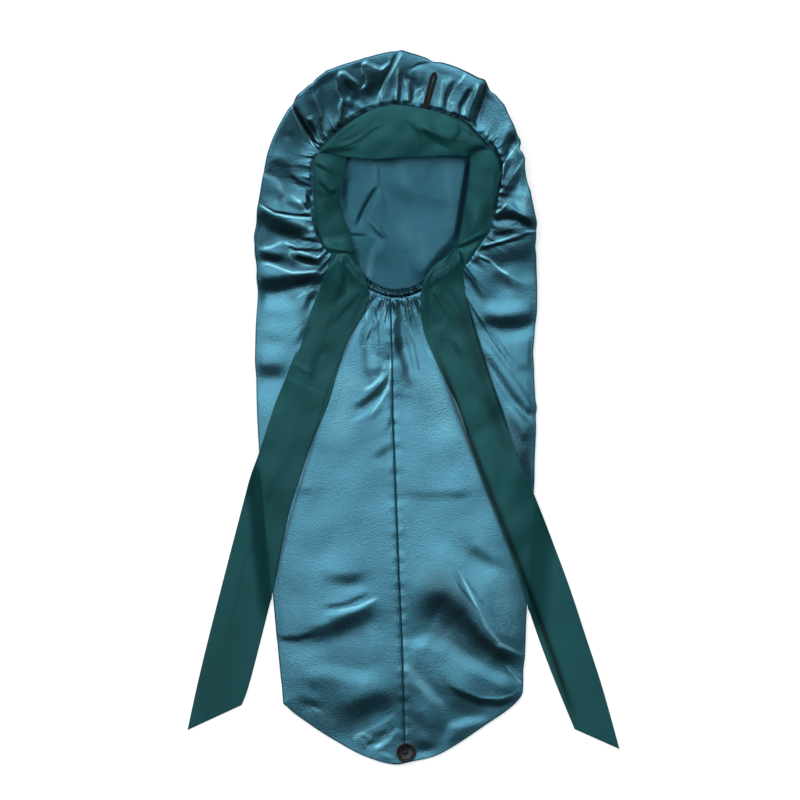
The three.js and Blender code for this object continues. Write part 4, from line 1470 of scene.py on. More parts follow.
@dataclass
class FrontShape:
    """The height of the satin's front layer over the floor, at any plan point.

    seam_dips holds the depth and half-width of the groove along the tail's centre seam.
    """

    cell: float = 0.5
    seam_rise: float = 48.0
    fold_at_edge: float = 0.55
    edge_wave: float = 0.5
    most_push: float = 1.5
    lowest: float = 2.2
    steps_per_line: int = 4
    outline_steps: int = 16
    seam_dips: Pairs = ((0.35, 2.6), (0.4, 0.6))
    pucker: float = 0.2
    pleats: tuple[Pleats, ...] = (
        Pleats(0.2, 5.6, 5.6, 1.7, 11.0, 11),
        Pleats(5.4, 11.0, 6.5, 1.5, 11.0, 12),
        Pleats(11.0, 15.0, 8.0, 1.0, 20.0, 13),
        Pleats(15.0, 25.0, 4.6, 1.7, 13.0, 14),
        Pleats(15.5, 24.5, 11.0, 1.2, 30.0, 18),
        Pleats(25.0, 30.0, 7.0, 1.0, 20.0, 15),
        Pleats(30.0, 35.0, 6.5, 1.5, 11.0, 16),
        Pleats(35.0, 39.9, 5.6, 1.7, 11.0, 17),
    )
    crumples: tuple[Crumple, ...] = (
        Crumple(60.0, 0.16, 3, 14, 0.2),
        Crumple(22.0, 0.03, 4, 18, 0.3),
    )

    def __post_init__(self) -> None:
        """Works out the relief and the two curves that bound the cloth."""
        self.relief = Relief(ALL_LEANS, self.cell)
        count = len(SECTION_LINES)
        self.seams = row_xy([(a, b) for a, b, _, _ in SECTION_LINES])
        self.edges = row_xy([(c, d) for _, _, c, d in SECTION_LINES])
        place = np.arange(count * self.steps_per_line + 1) / self.steps_per_line
        self.seam_line = spline(self.seams, place, True)
        self.seam_run = run_along(self.seam_line)
        self.seam_place = place
        self.outline = self.edge_at(np.arange(count * self.outline_steps + 1) / self.outline_steps)

    def edge_at(self, place: np.ndarray) -> np.ndarray:
        """Points of the outline, pushed in and out by the folds.

        Args:
            place: Places counted in section lines.

        Returns:
            One X, Y row per place.
        """
        edge = spline(self.edges, place, True)
        ahead = spline(self.edges, place + 0.05, True) - spline(self.edges, place - 0.05, True)
        ahead = unit(ahead)
        inward = np.stack([ahead[:, 1], -ahead[:, 0]], axis=1)
        near = edge + 4.0 * inward
        push = self.relief.at(near[:, 0], near[:, 1]) * self.edge_wave
        push = np.clip(push, -self.most_push, self.most_push)
        for x, y, out, width in OUTLINE_BUMPS:
            spot = row_xy([(x, y)])[0]
            push += out * np.exp(-(((edge - spot) ** 2).sum(axis=1)) / width**2)
        return edge - inward * push[:, None]

    def height(self, x: np.ndarray, y: np.ndarray) -> np.ndarray:
        """Height of the front layer over the floor.

        Args:
            x: X of each point.
            y: Y of each point.

        Returns:
            Heights.
        """
        count = len(SECTION_LINES)
        _, along, length = along_line(x, y, self.seam_line)
        away = self.distance(x, y, self.seam_line)
        to_edge = self.distance(x, y, self.outline)
        place = np.interp(along, self.seam_run, self.seam_place) % count
        nearest = spline(self.seams, place.reshape(-1), True)[:, 1].reshape(x.shape)
        seam_height = by_length(nearest, SEAM_HEIGHT)
        rightward = smooth((x + 60.0) / 90.0) * smooth((y - 90.0) / 60.0)
        crest = by_length(y, CREST)
        crest += (by_length(y, CREST_RIGHT) - crest) * rightward
        edge_height = by_length(y, EDGE_HEIGHT) + FLOOR_GAP
        edge_height += (by_length(y, EDGE_HEIGHT_RIGHT) + FLOOR_GAP - edge_height) * rightward
        round_off = by_length(y, EDGE_ROUND)
        near = np.clip(to_edge / by_length(y, EDGE_RISE), 0.0, 1.0)
        from_edge = 1.0 - (1.0 - near) ** 2
        risen = np.clip(away / self.seam_rise, 0.0, 1.0)
        from_seam = 0.5 * (risen + smooth(risen))
        level = seam_height + (crest - seam_height) * from_seam
        folds = self.relief.at(x, y)
        for crumple in self.crumples:
            folds += crumple.at(x, y) * smooth(away / 30.0)
        signed, run, _ = along_line(x, y, row_xy(CENTRE_SEAM))
        beside = np.abs(signed)
        seam_dip = -sum(depth * np.exp(-((beside / half) ** 2)) for depth, half in self.seam_dips)
        pucker = np.sin(run / 2.6) * np.sin(run / 9.0 + 1.0) * np.exp(-((beside / 6.0) ** 2))
        per_line = np.full(x.shape, length / count)
        gathers = sum(p.height(place, away, per_line) for p in self.pleats)
        detail = folds * smooth(away / 5.0) + (seam_dip + self.pucker * pucker) * smooth(away / 8.0) + gathers
        reach = self.fold_at_edge + (1.0 - self.fold_at_edge) * smooth(to_edge / 9.0)
        body = edge_height + (level - edge_height) * from_edge + detail * reach
        turn = np.clip(1.0 - to_edge / round_off, 0.0, 1.0)
        drop = (1.0 - np.sqrt(np.clip(1.0 - turn**2, 0.0, 1.0))) * np.minimum(round_off, 0.6 * edge_height)
        return np.maximum(body, FLOOR_GAP + self.lowest) - drop

    @staticmethod
    def distance(x: np.ndarray, y: np.ndarray, line: np.ndarray) -> np.ndarray:
        """Distance from plan points to a line."""
        return np.abs(along_line(x, y, line)[0])


# How far in from the rim its closest rows lie, and how it turns under: inset, share of its height.

RIM_ROWS = (5.2, 4.4, 3.6, 2.8, 2.0, 1.3, 0.75, 0.35, 0.12, 0.0)
RIM_TURNS: Pairs = ((0.5, 0.88), (1.0, 0.7), (1.8, 0.5), (2.8, 0.3), (4.2, 0.13), (6.4, 0.02), (10.0, 0.0))


def turned_under(rim: np.ndarray, inward: np.ndarray) -> np.ndarray:
    """Rings of points that carry a rim down to the floor and in under the cloth.

    Args:
        rim: The rim's points.
        inward: Unit plan vectors that point in from the rim.

    Returns:
        One ring per turn.
    """
    rings = []
    for inset, lower in RIM_TURNS:
        plan = rim[:, :2] + inward * inset
        height = FLOOR_GAP + (rim[:, 2] - FLOOR_GAP) * lower
        rings.append(np.concatenate([plan, height[:, None]], axis=1))
    return np.stack(rings)


# The crown's side: shares of the rim's height, its fine and broad creases, and how slack it is.

SIDE_LEVELS = (0.93, 0.85, 0.76, 0.67, 0.58, 0.49, 0.4, 0.31, 0.22, 0.14, 0.07, 0.02, 0.0)
SIDE_CREASES = (Crumple(17.0, 1.0, 31, 18, 0.55), Crumple(44.0, 1.0, 32, 14, 0.3))
SIDE_SHARES = (0.5, 0.28, 0.34)
MOST_SLACK = 1.4
SIDE_FOOT = 7.0
SIDE_BULGE = 0.11


def slack_side(rim: np.ndarray, inward: np.ndarray) -> np.ndarray:
    """Rings of points that carry the crown's rim down to the floor, slack and creased.

    Args:
        rim: The rim's points.
        inward: Unit plan vectors that point in from the rim.

    Returns:
        One ring per level.
    """
    run = run_along(rim[:, :2])
    tall = rim[:, 2] - FLOOR_GAP
    rings = []
    for level in SIDE_LEVELS:
        height = FLOOR_GAP + tall * level
        fine = SIDE_CREASES[0].at(run * 0.5 + height * 0.4, height * 1.5)
        broad = SIDE_CREASES[1].at(run, height * 1.6)
        even, of_fine, of_broad = SIDE_SHARES
        slack = np.clip(even + of_fine * fine + of_broad * broad, 0.0, MOST_SLACK)
        bulge = math.sin(math.pi * min(1.0, 1.15 * (1.0 - level)))
        inset = 0.35 + SIDE_FOOT * (1.0 - level) ** 4 + SIDE_BULGE * tall * slack * bulge
        rings.append(np.concatenate([rim[:, :2] + inward * inset[:, None], height[:, None]], axis=1))
    return np.stack(rings)


@dataclass
class CrownPanel:
    """The front layer round the top and sides of the face opening, gathered to the band."""

    name: str = "satin_crown"
    first: float = 28.2
    last: float = 53.0
    columns: int = 1040
    rows: int = 82
    under_band: float = 3.5
    tuck_drop: float = 2.2

    def points(self, shape: FrontShape) -> np.ndarray:
        """Its points, from under the band out to the rim and the floor.

        Args:
            shape: The front layer's shape.

        Returns:
            Points, shaped rows by columns by 3.
        """
        place = np.linspace(self.first, self.last, self.columns)
        seam = spline(shape.seams, place, True)
        edge = shape.edge_at(place)
        ahead = shape.edge_at(place + 0.05) - shape.edge_at(place - 0.05)
        ahead = unit(ahead)
        inward = np.stack([ahead[:, 1], -ahead[:, 0]], axis=1)
        spans = np.linalg.norm(edge - seam, axis=1)
        rim = np.asarray(RIM_ROWS)
        grow = np.linspace(0.0, 1.0, self.rows - len(rim), endpoint=False)
        away = np.concatenate(
            [grow[:, None] * (spans - rim[0])[None, :], spans[None, :] - rim[:, None]], axis=0
        )
        plan = seam[None] + (edge - seam)[None] * (away / spans[None, :])[..., None]
        z = shape.height(plan[..., 0], plan[..., 1])
        top = np.concatenate([plan, z[..., None]], axis=-1)
        tuck = seam - (edge - seam) / spans[:, None] * self.under_band
        tucked = np.concatenate([tuck, (z[0] - self.tuck_drop)[:, None]], axis=1)[None]
        return np.concatenate([tucked, top, slack_side(top[-1], inward)], axis=0)


class Half(Enum):
    """Which half of the tail a panel is."""

    LEFT = -1
    RIGHT = 1


@dataclass
class TailPanel:
    """One half of the long tail, from the centre seam out to the rim.

    hidden_side is a line under the tie, where the panel's outer side stops above the open tail.
    seam_turns holds how far past the seam each row of its turned edge lies, and how far down.
    """

    name: str
    half: Half
    hidden_side: Line
    columns: int = 150
    rows: int = 590
    first_row: float = 268.0
    last_row: float = 764.4
    seam_gap: float = 0.05
    least_width: float = 0.6
    full_width: float = 30.0
    seam_turns: Pairs = ((0.15, 2.6), (0.05, 1.0))

    def points(self, shape: FrontShape) -> np.ndarray:
        """Its points, row by row down the tail, each row from the centre out.

        Args:
            shape: The front layer's shape.

        Returns:
            Points, shaped rows by columns by 3.
        """
        side = self.half.value
        y = PLAN_MIDDLE[1] - np.linspace(self.first_row, self.last_row, self.rows)
        centre = row_xy(CENTRE_SEAM)[::-1]
        inner = np.interp(y, centre[:, 1], centre[:, 0]) + side * self.seam_gap
        nape = shape.seam_line[shape.seam_line[:, 1] < 150.0]
        nape = nape[(nape[:, 0] - inner[0]) * side > 0.0]
        nape = nape[np.argsort(nape[:, 1])]
        above = y > nape[0, 1]
        inner = np.where(above, np.interp(y, nape[:, 1], nape[:, 0]), inner)
        low = shape.outline[shape.outline[:, 1] < 40.0]
        low = low[np.argsort(low[:, 1])]
        rim = low[(low[:, 0] - low[0, 0]) * side >= 0.0]
        other = low[(low[:, 0] - low[0, 0]) * side <= 0.0]
        inner = side * np.maximum(side * inner, side * np.interp(y, other[:, 1], other[:, 0]))
        hidden = row_xy(self.hidden_side)[::-1]
        rim_x = np.interp(y, rim[:, 1], rim[:, 0])
        hidden_x = np.interp(y, hidden[:, 1], hidden[:, 0])
        outer = np.where(side * rim_x < side * hidden_x, rim_x, hidden_x)
        outer = inner + side * np.maximum(side * (outer - inner), self.least_width)
        width = np.abs(outer - inner)
        offsets = np.asarray(RIM_ROWS)
        scale = np.minimum(1.0, width / self.full_width)
        grow = np.linspace(0.0, 1.0, self.columns - len(offsets), endpoint=False)
        out = np.concatenate(
            [
                grow[None, :] * (width - offsets[0] * scale)[:, None],
                width[:, None] - offsets[None, :] * scale[:, None],
            ],
            axis=1,
        )
        x = inner[:, None] + side * out
        yy = np.repeat(y[:, None], x.shape[1], axis=1)
        z = shape.height(x, yy)
        top = np.stack([x, yy, z], axis=-1)
        slope = np.gradient(top[:, -1, :2], axis=0)
        slope = unit(slope)
        inward = np.stack([slope[:, 1], -slope[:, 0]], axis=1) * side
        turns = np.swapaxes(turned_under(top[:, -1], inward), 0, 1)
        dips = []
        for shift, drop in self.seam_turns:
            dips.append(top[:, 0] + np.array([-side * shift, 0.0, 0.0]) - np.array([0.0, 0.0, drop]))
        return np.concatenate([np.stack(dips, axis=1), top, turns], axis=1)


@dataclass
class SatinBody:
    """The satin bag: the crown, the tail's two halves and the back layer behind them."""

    crown: CrownPanel = field(default_factory=CrownPanel)
    tail_left: TailPanel = field(
        default_factory=lambda: TailPanel("satin_tail_left", Half.LEFT, ((338, 262), (254, 520), (200, 690)))
    )
    tail_right: TailPanel = field(
        default_factory=lambda: TailPanel(
            "satin_tail_right", Half.RIGHT, ((450, 266), (537, 560), (580, 700)), last_row=763.0
        )
    )
    cuts: dict[str, tuple[tuple[float, float], float]] = field(
        default_factory=lambda: {
            "satin_crown": ((0.12, 0.7), 0.078),
            "satin_tail_left": ((0.16, 0.5), 0.062),
            "satin_tail_right": ((0.16, 0.5), 0.062),
        }
    )
    back_columns: int = 170
    back_rows: int = 262
    seen_rows: tuple[float, float] = (300.0, 140.0)
    end_rows: tuple[int, int] = (71, 31)
    inset: float = 2.5
    outline_points: int = 800
    wall: float = 0.5
    front_grids: list[np.ndarray] = field(default_factory=list)

    def back_points(self) -> np.ndarray:
        """The back layer's points, with the wrinkles that show through the face opening.

        Returns:
            Points, shaped rows by columns by 3.
        """
        edges = row_xy([(c, d) for _, _, c, d in SECTION_LINES])
        place = np.linspace(0.0, len(edges), self.outline_points, endpoint=False)
        outline = spline(edges, place, True)
        outline = np.roll(outline, -int(np.argmax(outline[:, 1])), axis=0)
        bottom = int(np.argmin(outline[:, 1]))
        right = outline[: bottom + 1][::-1]
        left = np.concatenate([outline[bottom:], outline[:1]])
        low, high = outline[bottom, 1] + 4.0, outline[0, 1] - 8.0
        first, last = (PLAN_MIDDLE[1] - row for row in self.seen_rows)
        tail, crown = self.end_rows
        seen = np.linspace(first, last, self.back_rows - (tail - 1) - (crown - 1))
        y = np.concatenate([np.linspace(low, first, tail)[:-1], seen, np.linspace(last, high, crown)[1:]])
        x_left = np.interp(y, left[:, 1], left[:, 0]) + self.inset
        x_right = np.interp(y, right[:, 1], right[:, 0]) - self.inset
        across = np.linspace(0.0, 1.0, self.back_columns)
        x = x_left[:, None] + (x_right - x_left)[:, None] * across[None, :]
        yy = np.repeat(y[:, None], self.back_columns, axis=1)
        window = smooth((yy - 70.0) / 40.0) * smooth((300.0 - yy) / 40.0) * smooth((105.0 - np.abs(x)) / 40.0)
        wrinkles = Relief(BACK_LEANS).at(x, yy)
        wrinkles += Crumple(60.0, 0.3, 7, 14, 0.3).at(x, yy)
        z = 0.75 + FLOOR_GAP + window * np.maximum(4.2 + wrinkles, 0.3)
        return np.stack([x, yy, z], axis=-1)

    def build(self, outside: bpy.types.Material, reverse: bpy.types.Material) -> None:
        """Makes both layers and dresses them.

        Args:
            outside: Finish of the satin's right side.
            reverse: Finish of its wrong side.
        """
        shape = FrontShape()
        made = []
        for panel in (self.crown, self.tail_left, self.tail_right):
            grid = panel.points(shape)
            self.front_grids.append(grid)
            piece = grid_piece(panel.name, grid, facing=upward(grid), plan_map=True)
            # Painted shade, painted highlights and painted shadows along the folds.
            paint_fold_shading(piece, painted_fold_shading(grid[..., 0], grid[..., 1], SATIN_PAINTED_SHADING))
            piece.data.materials.append(outside)
            made.append(piece)
        under = self.back_points()
        back = grid_piece("satin_back", under)
        # Painted shade, painted highlights and painted shadows on the back layer.
        paint_fold_shading(back, painted_fold_shading(under[..., 0], under[..., 1], BACK_PAINTED_SHADING))
        back.data.materials.append(reverse)
        back.data.materials.append(outside)
        give_wall(back, self.wall, -1.0, 1)
        made.append(back)
        for piece in made:
            shade(piece, 75.0)
            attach(piece, "root")
            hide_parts("satin_body")
            LOG.info("%s: %d faces", piece.name, len(piece.data.polygons))


BACK_LEANS: tuple[Lean, ...] = leans_from((
    (8, 3, 3, 0.15, 373, 160, 373, 173, 374, 185),
    (-15, 1.8, 1.8, 0.2, 377.5, 160, 378.5, 180, 383, 197, 387, 213),
    (-34, 1.5, 1.1, 0.1, 375.5, 186, 364, 206, 356, 225),
    (14, 3.4, 3.4, 0.2, 378, 189, 369, 208, 360, 228),
    (-24, 1.5, 1.5, 0.2, 369, 223, 376, 231, 384, 240),
    (14, 1.8, 1.8, 0.3, 378, 221, 387, 236),
    (-22, 1.2, 1.2, 0.2, 350, 234, 367, 234.8),
    (12, 1.6, 1.6, 0.25, 352, 231, 366, 233, 377, 239),
    (14, 2.6, 2.6, 0.2, 377, 240, 371, 259, 369, 279),
    (-16, 2.6, 2.6, 0.25, 361, 256, 365, 268, 368, 280),
    (9, 5.5, 5.5, 0.25, 388, 160, 402, 178, 416, 201),
    (-5, 5, 5, 0.35, 430, 162, 424, 186),
    (9, 3, 3, 0.25, 401, 230, 410, 253, 412, 279),
    (6, 3, 3, 0.4, 442, 178, 438, 204),
    (-6, 3, 3, 0.4, 420, 232, 422, 252),
    (-26, 7, 5, 0.15, 454, 241, 440, 258, 423, 279),
    (-20, 3.4, 3.4, 0.2, 346, 174, 344, 196, 347, 214),
    (-34, 3.4, 3, 0.08, 468, 160, 464, 188, 459, 218, 455, 242),
    (14, 1, 1, 0.08, 465, 160, 460, 190, 456.5, 214, 453.5, 240),
    (-5, 3, 3, 0.4, 386, 243, 384, 262),
))


@dataclass(frozen=True)
class StripCut:
    """A strip of cloth in plan: its two long edges, matched point by point."""

    one: Line
    other: Line

    def plan(self, rows: int, columns: int) -> tuple[np.ndarray, np.ndarray]:
        """X and Y of a grid on the strip.

        Args:
            rows: Points along it.
            columns: Points across it.

        Returns:
            Two arrays, shaped rows by columns.
        """
        place = np.linspace(0.0, len(self.one) - 1.0, rows * 4)
        middle = 0.5 * (spline(row_xy(self.one), place, False) + spline(row_xy(self.other), place, False))
        run = run_along(middle)
        place = np.interp(np.linspace(0.0, run[-1], rows), run, place)
        one = spline(row_xy(self.one), place, False)
        other = spline(row_xy(self.other), place, False)
        across = np.linspace(0.0, 1.0, columns)[None, :]
        x = one[:, None, 0] + (other - one)[:, None, 0] * across
        y = one[:, None, 1] + (other - one)[:, None, 1] * across
        return x, y


def strip_piece(name: str, grid: np.ndarray, wall: float, finish: bpy.types.Material) -> bpy.types.Object:
    """A doubled strip of cloth with soft folded edges.

    Args:
        name: The piece's name.
        grid: Points of its upper side.
        wall: Its thickness.
        finish: Its material.

    Returns:
        The new object.
    """
    first, second = grid[1, 0] - grid[0, 0], grid[0, 1] - grid[0, 0]
    upwards = np.cross(second, first)[2] > 0.0
    piece = grid_piece(name, grid, False, Facing.AS_BUILT if upwards else Facing.TURNED)
    # Painted shade, painted highlights and painted shadows on the band and ties.
    paint_fold_shading(piece, painted_fold_shading(grid[..., 0], grid[..., 1], STRAP_PAINTED_SHADING))
    piece.data.materials.append(finish)
    give_wall(piece, wall, -1.0)
    bevel = piece.modifiers.new("soft_edge", "BEVEL")
    bevel.width = 0.45 * wall * MM
    bevel.segments = 2
    bevel.limit_method = "ANGLE"
    bevel.angle_limit = math.radians(55.0)
    apply_modifiers(piece)
    shade(piece, 60.0)
    return piece


@dataclass
class Headband:
    """The wide band: a top piece that laps over two side pieces."""

    wall: float = 1.3
    crown: float = 1.6
    dip: float = 2.6
    top: StripCut = StripCut(
        (
            (319, 152.5), (326, 143.5), (337, 133), (350, 123), (362, 115.5), (373, 110), (386.5, 107),
            (400, 106), (424, 109.5), (446, 115.5), (464, 123), (479, 136.5), (489, 149.5),
        ),
        (
            (322.5, 154.5), (330, 156.3), (340, 157.2), (348, 158), (361, 159.5), (374, 160.3),
            (389, 159.2), (411, 157.8), (434, 157), (456, 156.4), (464.5, 157.4), (472, 155), (484, 150),
        ),
    )
    left: StripCut = StripCut(
        (
            (324, 147), (316, 157), (313.5, 164), (313.6, 177), (314.4, 199.5), (316.4, 221), (320.4, 238),
            (327, 253),
        ),
        (
            (350, 151), (347, 160), (345, 174), (341, 187), (339.5, 202), (343, 216), (350, 234),
            (354.5, 254.5),
        ),
    )
    right: StripCut = StripCut(
        (
            (481, 140), (495.5, 156), (499.5, 168), (498.5, 184), (495, 199), (491.5, 216), (489.5, 231),
            (483.5, 239.5), (476, 251), (464, 270),
        ),
        (
            (463, 152), (469.5, 159), (469, 172), (467.5, 188), (465, 204), (462, 221), (458.5, 238),
            (456.5, 248), (457.5, 256), (461.5, 269),
        ),
    )
    leans: tuple[Lean, ...] = leans_from((
        (-14, 2.5, 2.5, 0.3, 407, 119, 412, 127, 417, 134),
        (-30, 3, 3.4, 0.2, 419, 129, 430, 136, 441, 142, 452, 147.5),
        (13, 4, 4, 0.3, 421, 125, 437, 131, 454, 138),
        (-13, 2, 2, 0.3, 456, 121, 459, 132, 452, 144),
        (-14, 1.6, 1.6, 0.25, 461, 128, 470, 134, 479, 139),
        (12, 1.6, 1.6, 0.3, 463, 124, 474, 131),
        (-13, 1.6, 1.6, 0.2, 325, 151.5, 345, 147, 360, 141, 373, 131, 389, 123),
        (-12, 2, 2, 0.3, 331, 143, 345, 132, 359, 122.5),
        (10, 2, 2, 0.3, 335, 149, 352, 142, 366, 132),
        (-12, 1.3, 1.3, 0.25, 324, 153, 342, 151.5, 362, 147),
        (-10, 1.6, 1.6, 0.3, 362, 118, 372, 113),
        (9, 1.5, 1.5, 0.2, 330, 154, 350, 155.5, 372, 157.5),
        (-9, 1.3, 1.3, 0.3, 421, 141, 422, 156),
        (-18, 2.6, 2.6, 0.2, 466, 152, 476, 149, 486, 147),
        (-18, 2, 2, 0.25, 315, 163, 321, 167, 328, 171.5),
        (13, 5, 5, 0.35, 326, 174, 331, 182),
        (-28, 1.8, 2.2, 0.15, 320, 182, 326, 189, 330, 194.5, 339, 189),
        (-12, 4, 4, 0.3, 316, 191, 327, 198),
        (16, 3.4, 3.4, 0.3, 326, 243, 343, 247),
        (-28, 1.8, 2.5, 0.12, 324, 249, 338, 252.5, 353, 254.5),
        (-10, 1.6, 1.6, 0.2, 343, 180, 340.5, 205, 345, 222),
        (8, 5, 5, 0.3, 484, 163, 481, 186),
        (12, 4, 4, 0.3, 471, 214, 467, 236),
        (-20, 6, 5, 0.3, 480, 206, 484, 226),
        (-14, 2, 2, 0.2, 497, 168, 494, 199),
        (-30, 1.6, 1.6, 0.15, 457, 248, 470, 241.8, 484, 235.2, 489, 232.6),
        (10, 2.4, 2.4, 0.25, 459, 245.5, 472, 238.5, 483, 232),
        (18, 2, 2, 0.2, 456, 248, 461, 250.5, 470, 249, 478, 242),
        (-28, 3, 3, 0.3, 458, 254, 463, 263),
    ))
    relief: Relief | None = None

    def heights(self, x: np.ndarray, y: np.ndarray, lift: float, end_lift: float) -> np.ndarray:
        """Height of the band's upper side on a grid that runs from its seam to its free edge.

        Args:
            x: X of the grid.
            y: Y of the grid.
            lift: How far the whole piece stands over the seam.
            end_lift: How far its last stretch rises on top of that.

        Returns:
            Heights.
        """
        seam = by_length(y[:, :1], SEAM_HEIGHT)
        across = np.linspace(0.0, 1.0, x.shape[1])[None, :]
        along = np.linspace(0.0, 1.0, x.shape[0])[:, None]
        crown = self.crown * np.sin(math.pi * across) ** 0.8
        soft = Crumple(30.0, 0.25, 21, 12, 0.2).at(x, y)
        body = self.relief.at(x, y) + soft
        held = 0.25 + 0.75 * smooth(across / 0.1)
        end = end_lift * smooth((along - 0.82) / 0.16)
        return seam + 0.9 + lift - self.dip * across + crown + body * held + end

    def build(self, finish: bpy.types.Material) -> list[np.ndarray]:
        """Makes the three pieces and dresses them.

        Args:
            finish: Their material.

        Returns:
            The grids of their upper sides.
        """
        self.relief = Relief(self.leans)
        grids = []
        for name, cut, rows, columns, lift, end_lift, flat in (
            ("band_top", self.top, 210, 50, 1.7, 0.0, (0.05, 0.17)),
            ("band_left", self.left, 130, 34, 0.0, 2.8, (0.03, 0.115)),
            ("band_right", self.right, 150, 34, 0.0, 0.0, (0.032, 0.13)),
        ):
            x, y = cut.plan(rows, columns)
            grid = np.stack([x, y, self.heights(x, y, lift, end_lift)], axis=-1)
            piece = strip_piece(name, grid, self.wall, finish)
            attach(piece, "root")
            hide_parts("headband")
            LOG.info("%s: %d faces", name, len(piece.data.polygons))
            grids.append(grid)
        return grids


@dataclass
class Tie:
    """A long wide tie that lies over the bag and down onto the floor."""

    name: str
    node: str
    cut: StripCut
    leans: tuple[Lean, ...]
    wall: float = 1.2
    rows: int = 250
    columns: int = 44
    settle_rounds: int = 160
    sag: float = 0.012
    feel: float = 2.5
    clear: float = 0.35
    seed: int = 31

    def build(self, cover: Cover, finish: bpy.types.Material) -> None:
        """Makes the tie, lying on what the cover holds.

        Args:
            cover: The satin and the elastic under it.
            finish: Its material.
        """
        x, y = self.cut.plan(self.rows, self.columns)
        under = cover.heights(x, y)
        for dx, dy in SIDEWAYS:
            under = np.maximum(under, cover.heights(x + self.feel * dx, y + self.feel * dy))
        need = under + np.where(under > 0.0, self.clear, FLOOR_GAP) + self.wall
        z = need.copy()
        for _ in range(self.settle_rounds):
            wide = np.pad(z, 1, mode="edge")
            mean = 0.25 * (wide[:-2, 1:-1] + wide[2:, 1:-1] + wide[1:-1, :-2] + wide[1:-1, 2:])
            z = np.maximum(need, mean - self.sag)
        detail = Relief(self.leans).at(x, y) + Crumple(42.0, 0.25, self.seed, 12, 0.3).at(x, y)
        z = np.maximum(z + 0.8 + detail * smooth(z / 6.0), need)
        piece = strip_piece(self.name, np.stack([x, y, z], axis=-1), self.wall, finish)
        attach(piece, "root")
        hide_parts(self.node)
        LOG.info("%s: %d faces", self.name, len(piece.data.polygons))


LEFT_TIE = Tie(
    name="left_tie_strap",
    node="tie_left",
    cut=StripCut(
        (
            (335, 249), (329, 263), (321, 287), (309, 316), (301, 345), (294, 357), (285, 380),
            (274.5, 406), (260, 450), (250, 478), (243, 504), (224, 577), (208, 640), (197, 686),
            (187.5, 730),
        ),
        (
            (357, 249), (360, 266), (368.5, 289), (367.5, 304), (361.6, 318), (349, 339), (340, 363),
            (328, 404), (312.5, 441), (299, 480), (287, 520), (272.5, 592), (256, 659), (247.5, 690),
            (241.7, 705),
        ),
    ),
    leans=leans_from((
        (-28, 3, 3, 0.15, 343.5, 256, 343.5, 274, 345, 292),
        (10, 3, 3, 0.3, 351, 260, 354, 274, 360, 288),
        (6, 4, 4, 0.35, 333, 258, 327, 282),
        (11, 1.6, 1.6, 0.2, 294, 360, 304, 368, 314, 372),
        (-10, 2, 2, 0.3, 294, 364, 304, 372, 313, 376),
        (-7, 5, 5, 0.3, 325, 338, 316, 362, 306, 392),
        (5, 5, 5, 0.3, 300, 400, 285, 440, 272, 480),
        (-7, 5, 5, 0.15, 286, 455, 266, 500, 259, 564, 234, 635, 229, 667, 214, 702),
    )),
    seed=31,
)
RIGHT_TIE = Tie(
    name="right_tie_strap",
    node="tie_right",
    cut=StripCut(
        (
            (458, 250), (461, 262), (463, 275), (466.5, 299), (475.7, 329), (488, 370), (504, 415),
            (512, 441), (534.7, 496), (552, 540), (569.5, 587), (585, 634), (602.5, 688), (619.5, 749),
        ),
        (
            (454.5, 248.5), (446, 257), (432, 268), (421.5, 290), (423, 328), (434, 357), (446, 382),
            (460, 412), (479, 472), (499, 523), (516, 566), (532.6, 621), (552, 674), (574.5, 729),
        ),
    ),
    leans=leans_from((
        (-24, 4, 4, 0.15, 447, 258, 433, 272, 426, 290, 428, 312, 434, 334),
        (5, 6, 6, 0.35, 440, 292, 446, 318, 452, 334),
        (-15, 5, 5, 0.15, 446, 335, 461, 356, 473, 385, 482, 402, 490, 422),
        (-22, 6.5, 6.5, 0.12, 471, 330, 479, 352, 486, 372, 493, 392, 501, 413, 511, 437, 522, 463),
        (12, 1.4, 1.4, 0.15, 456, 256, 459, 272, 463, 290),
        (-18, 1.2, 1.2, 0.08, 464.5, 412, 483, 470, 503, 521, 520, 564, 537, 619, 556, 672, 576, 722),
        (-12, 1.2, 1.2, 0.3, 448, 384, 463, 412),
        (5, 6, 6, 0.3, 462, 420, 478, 462, 500, 514),
        (5, 9, 9, 0.3, 545, 560, 570, 630, 590, 700),
    )),
    seed=37,
)


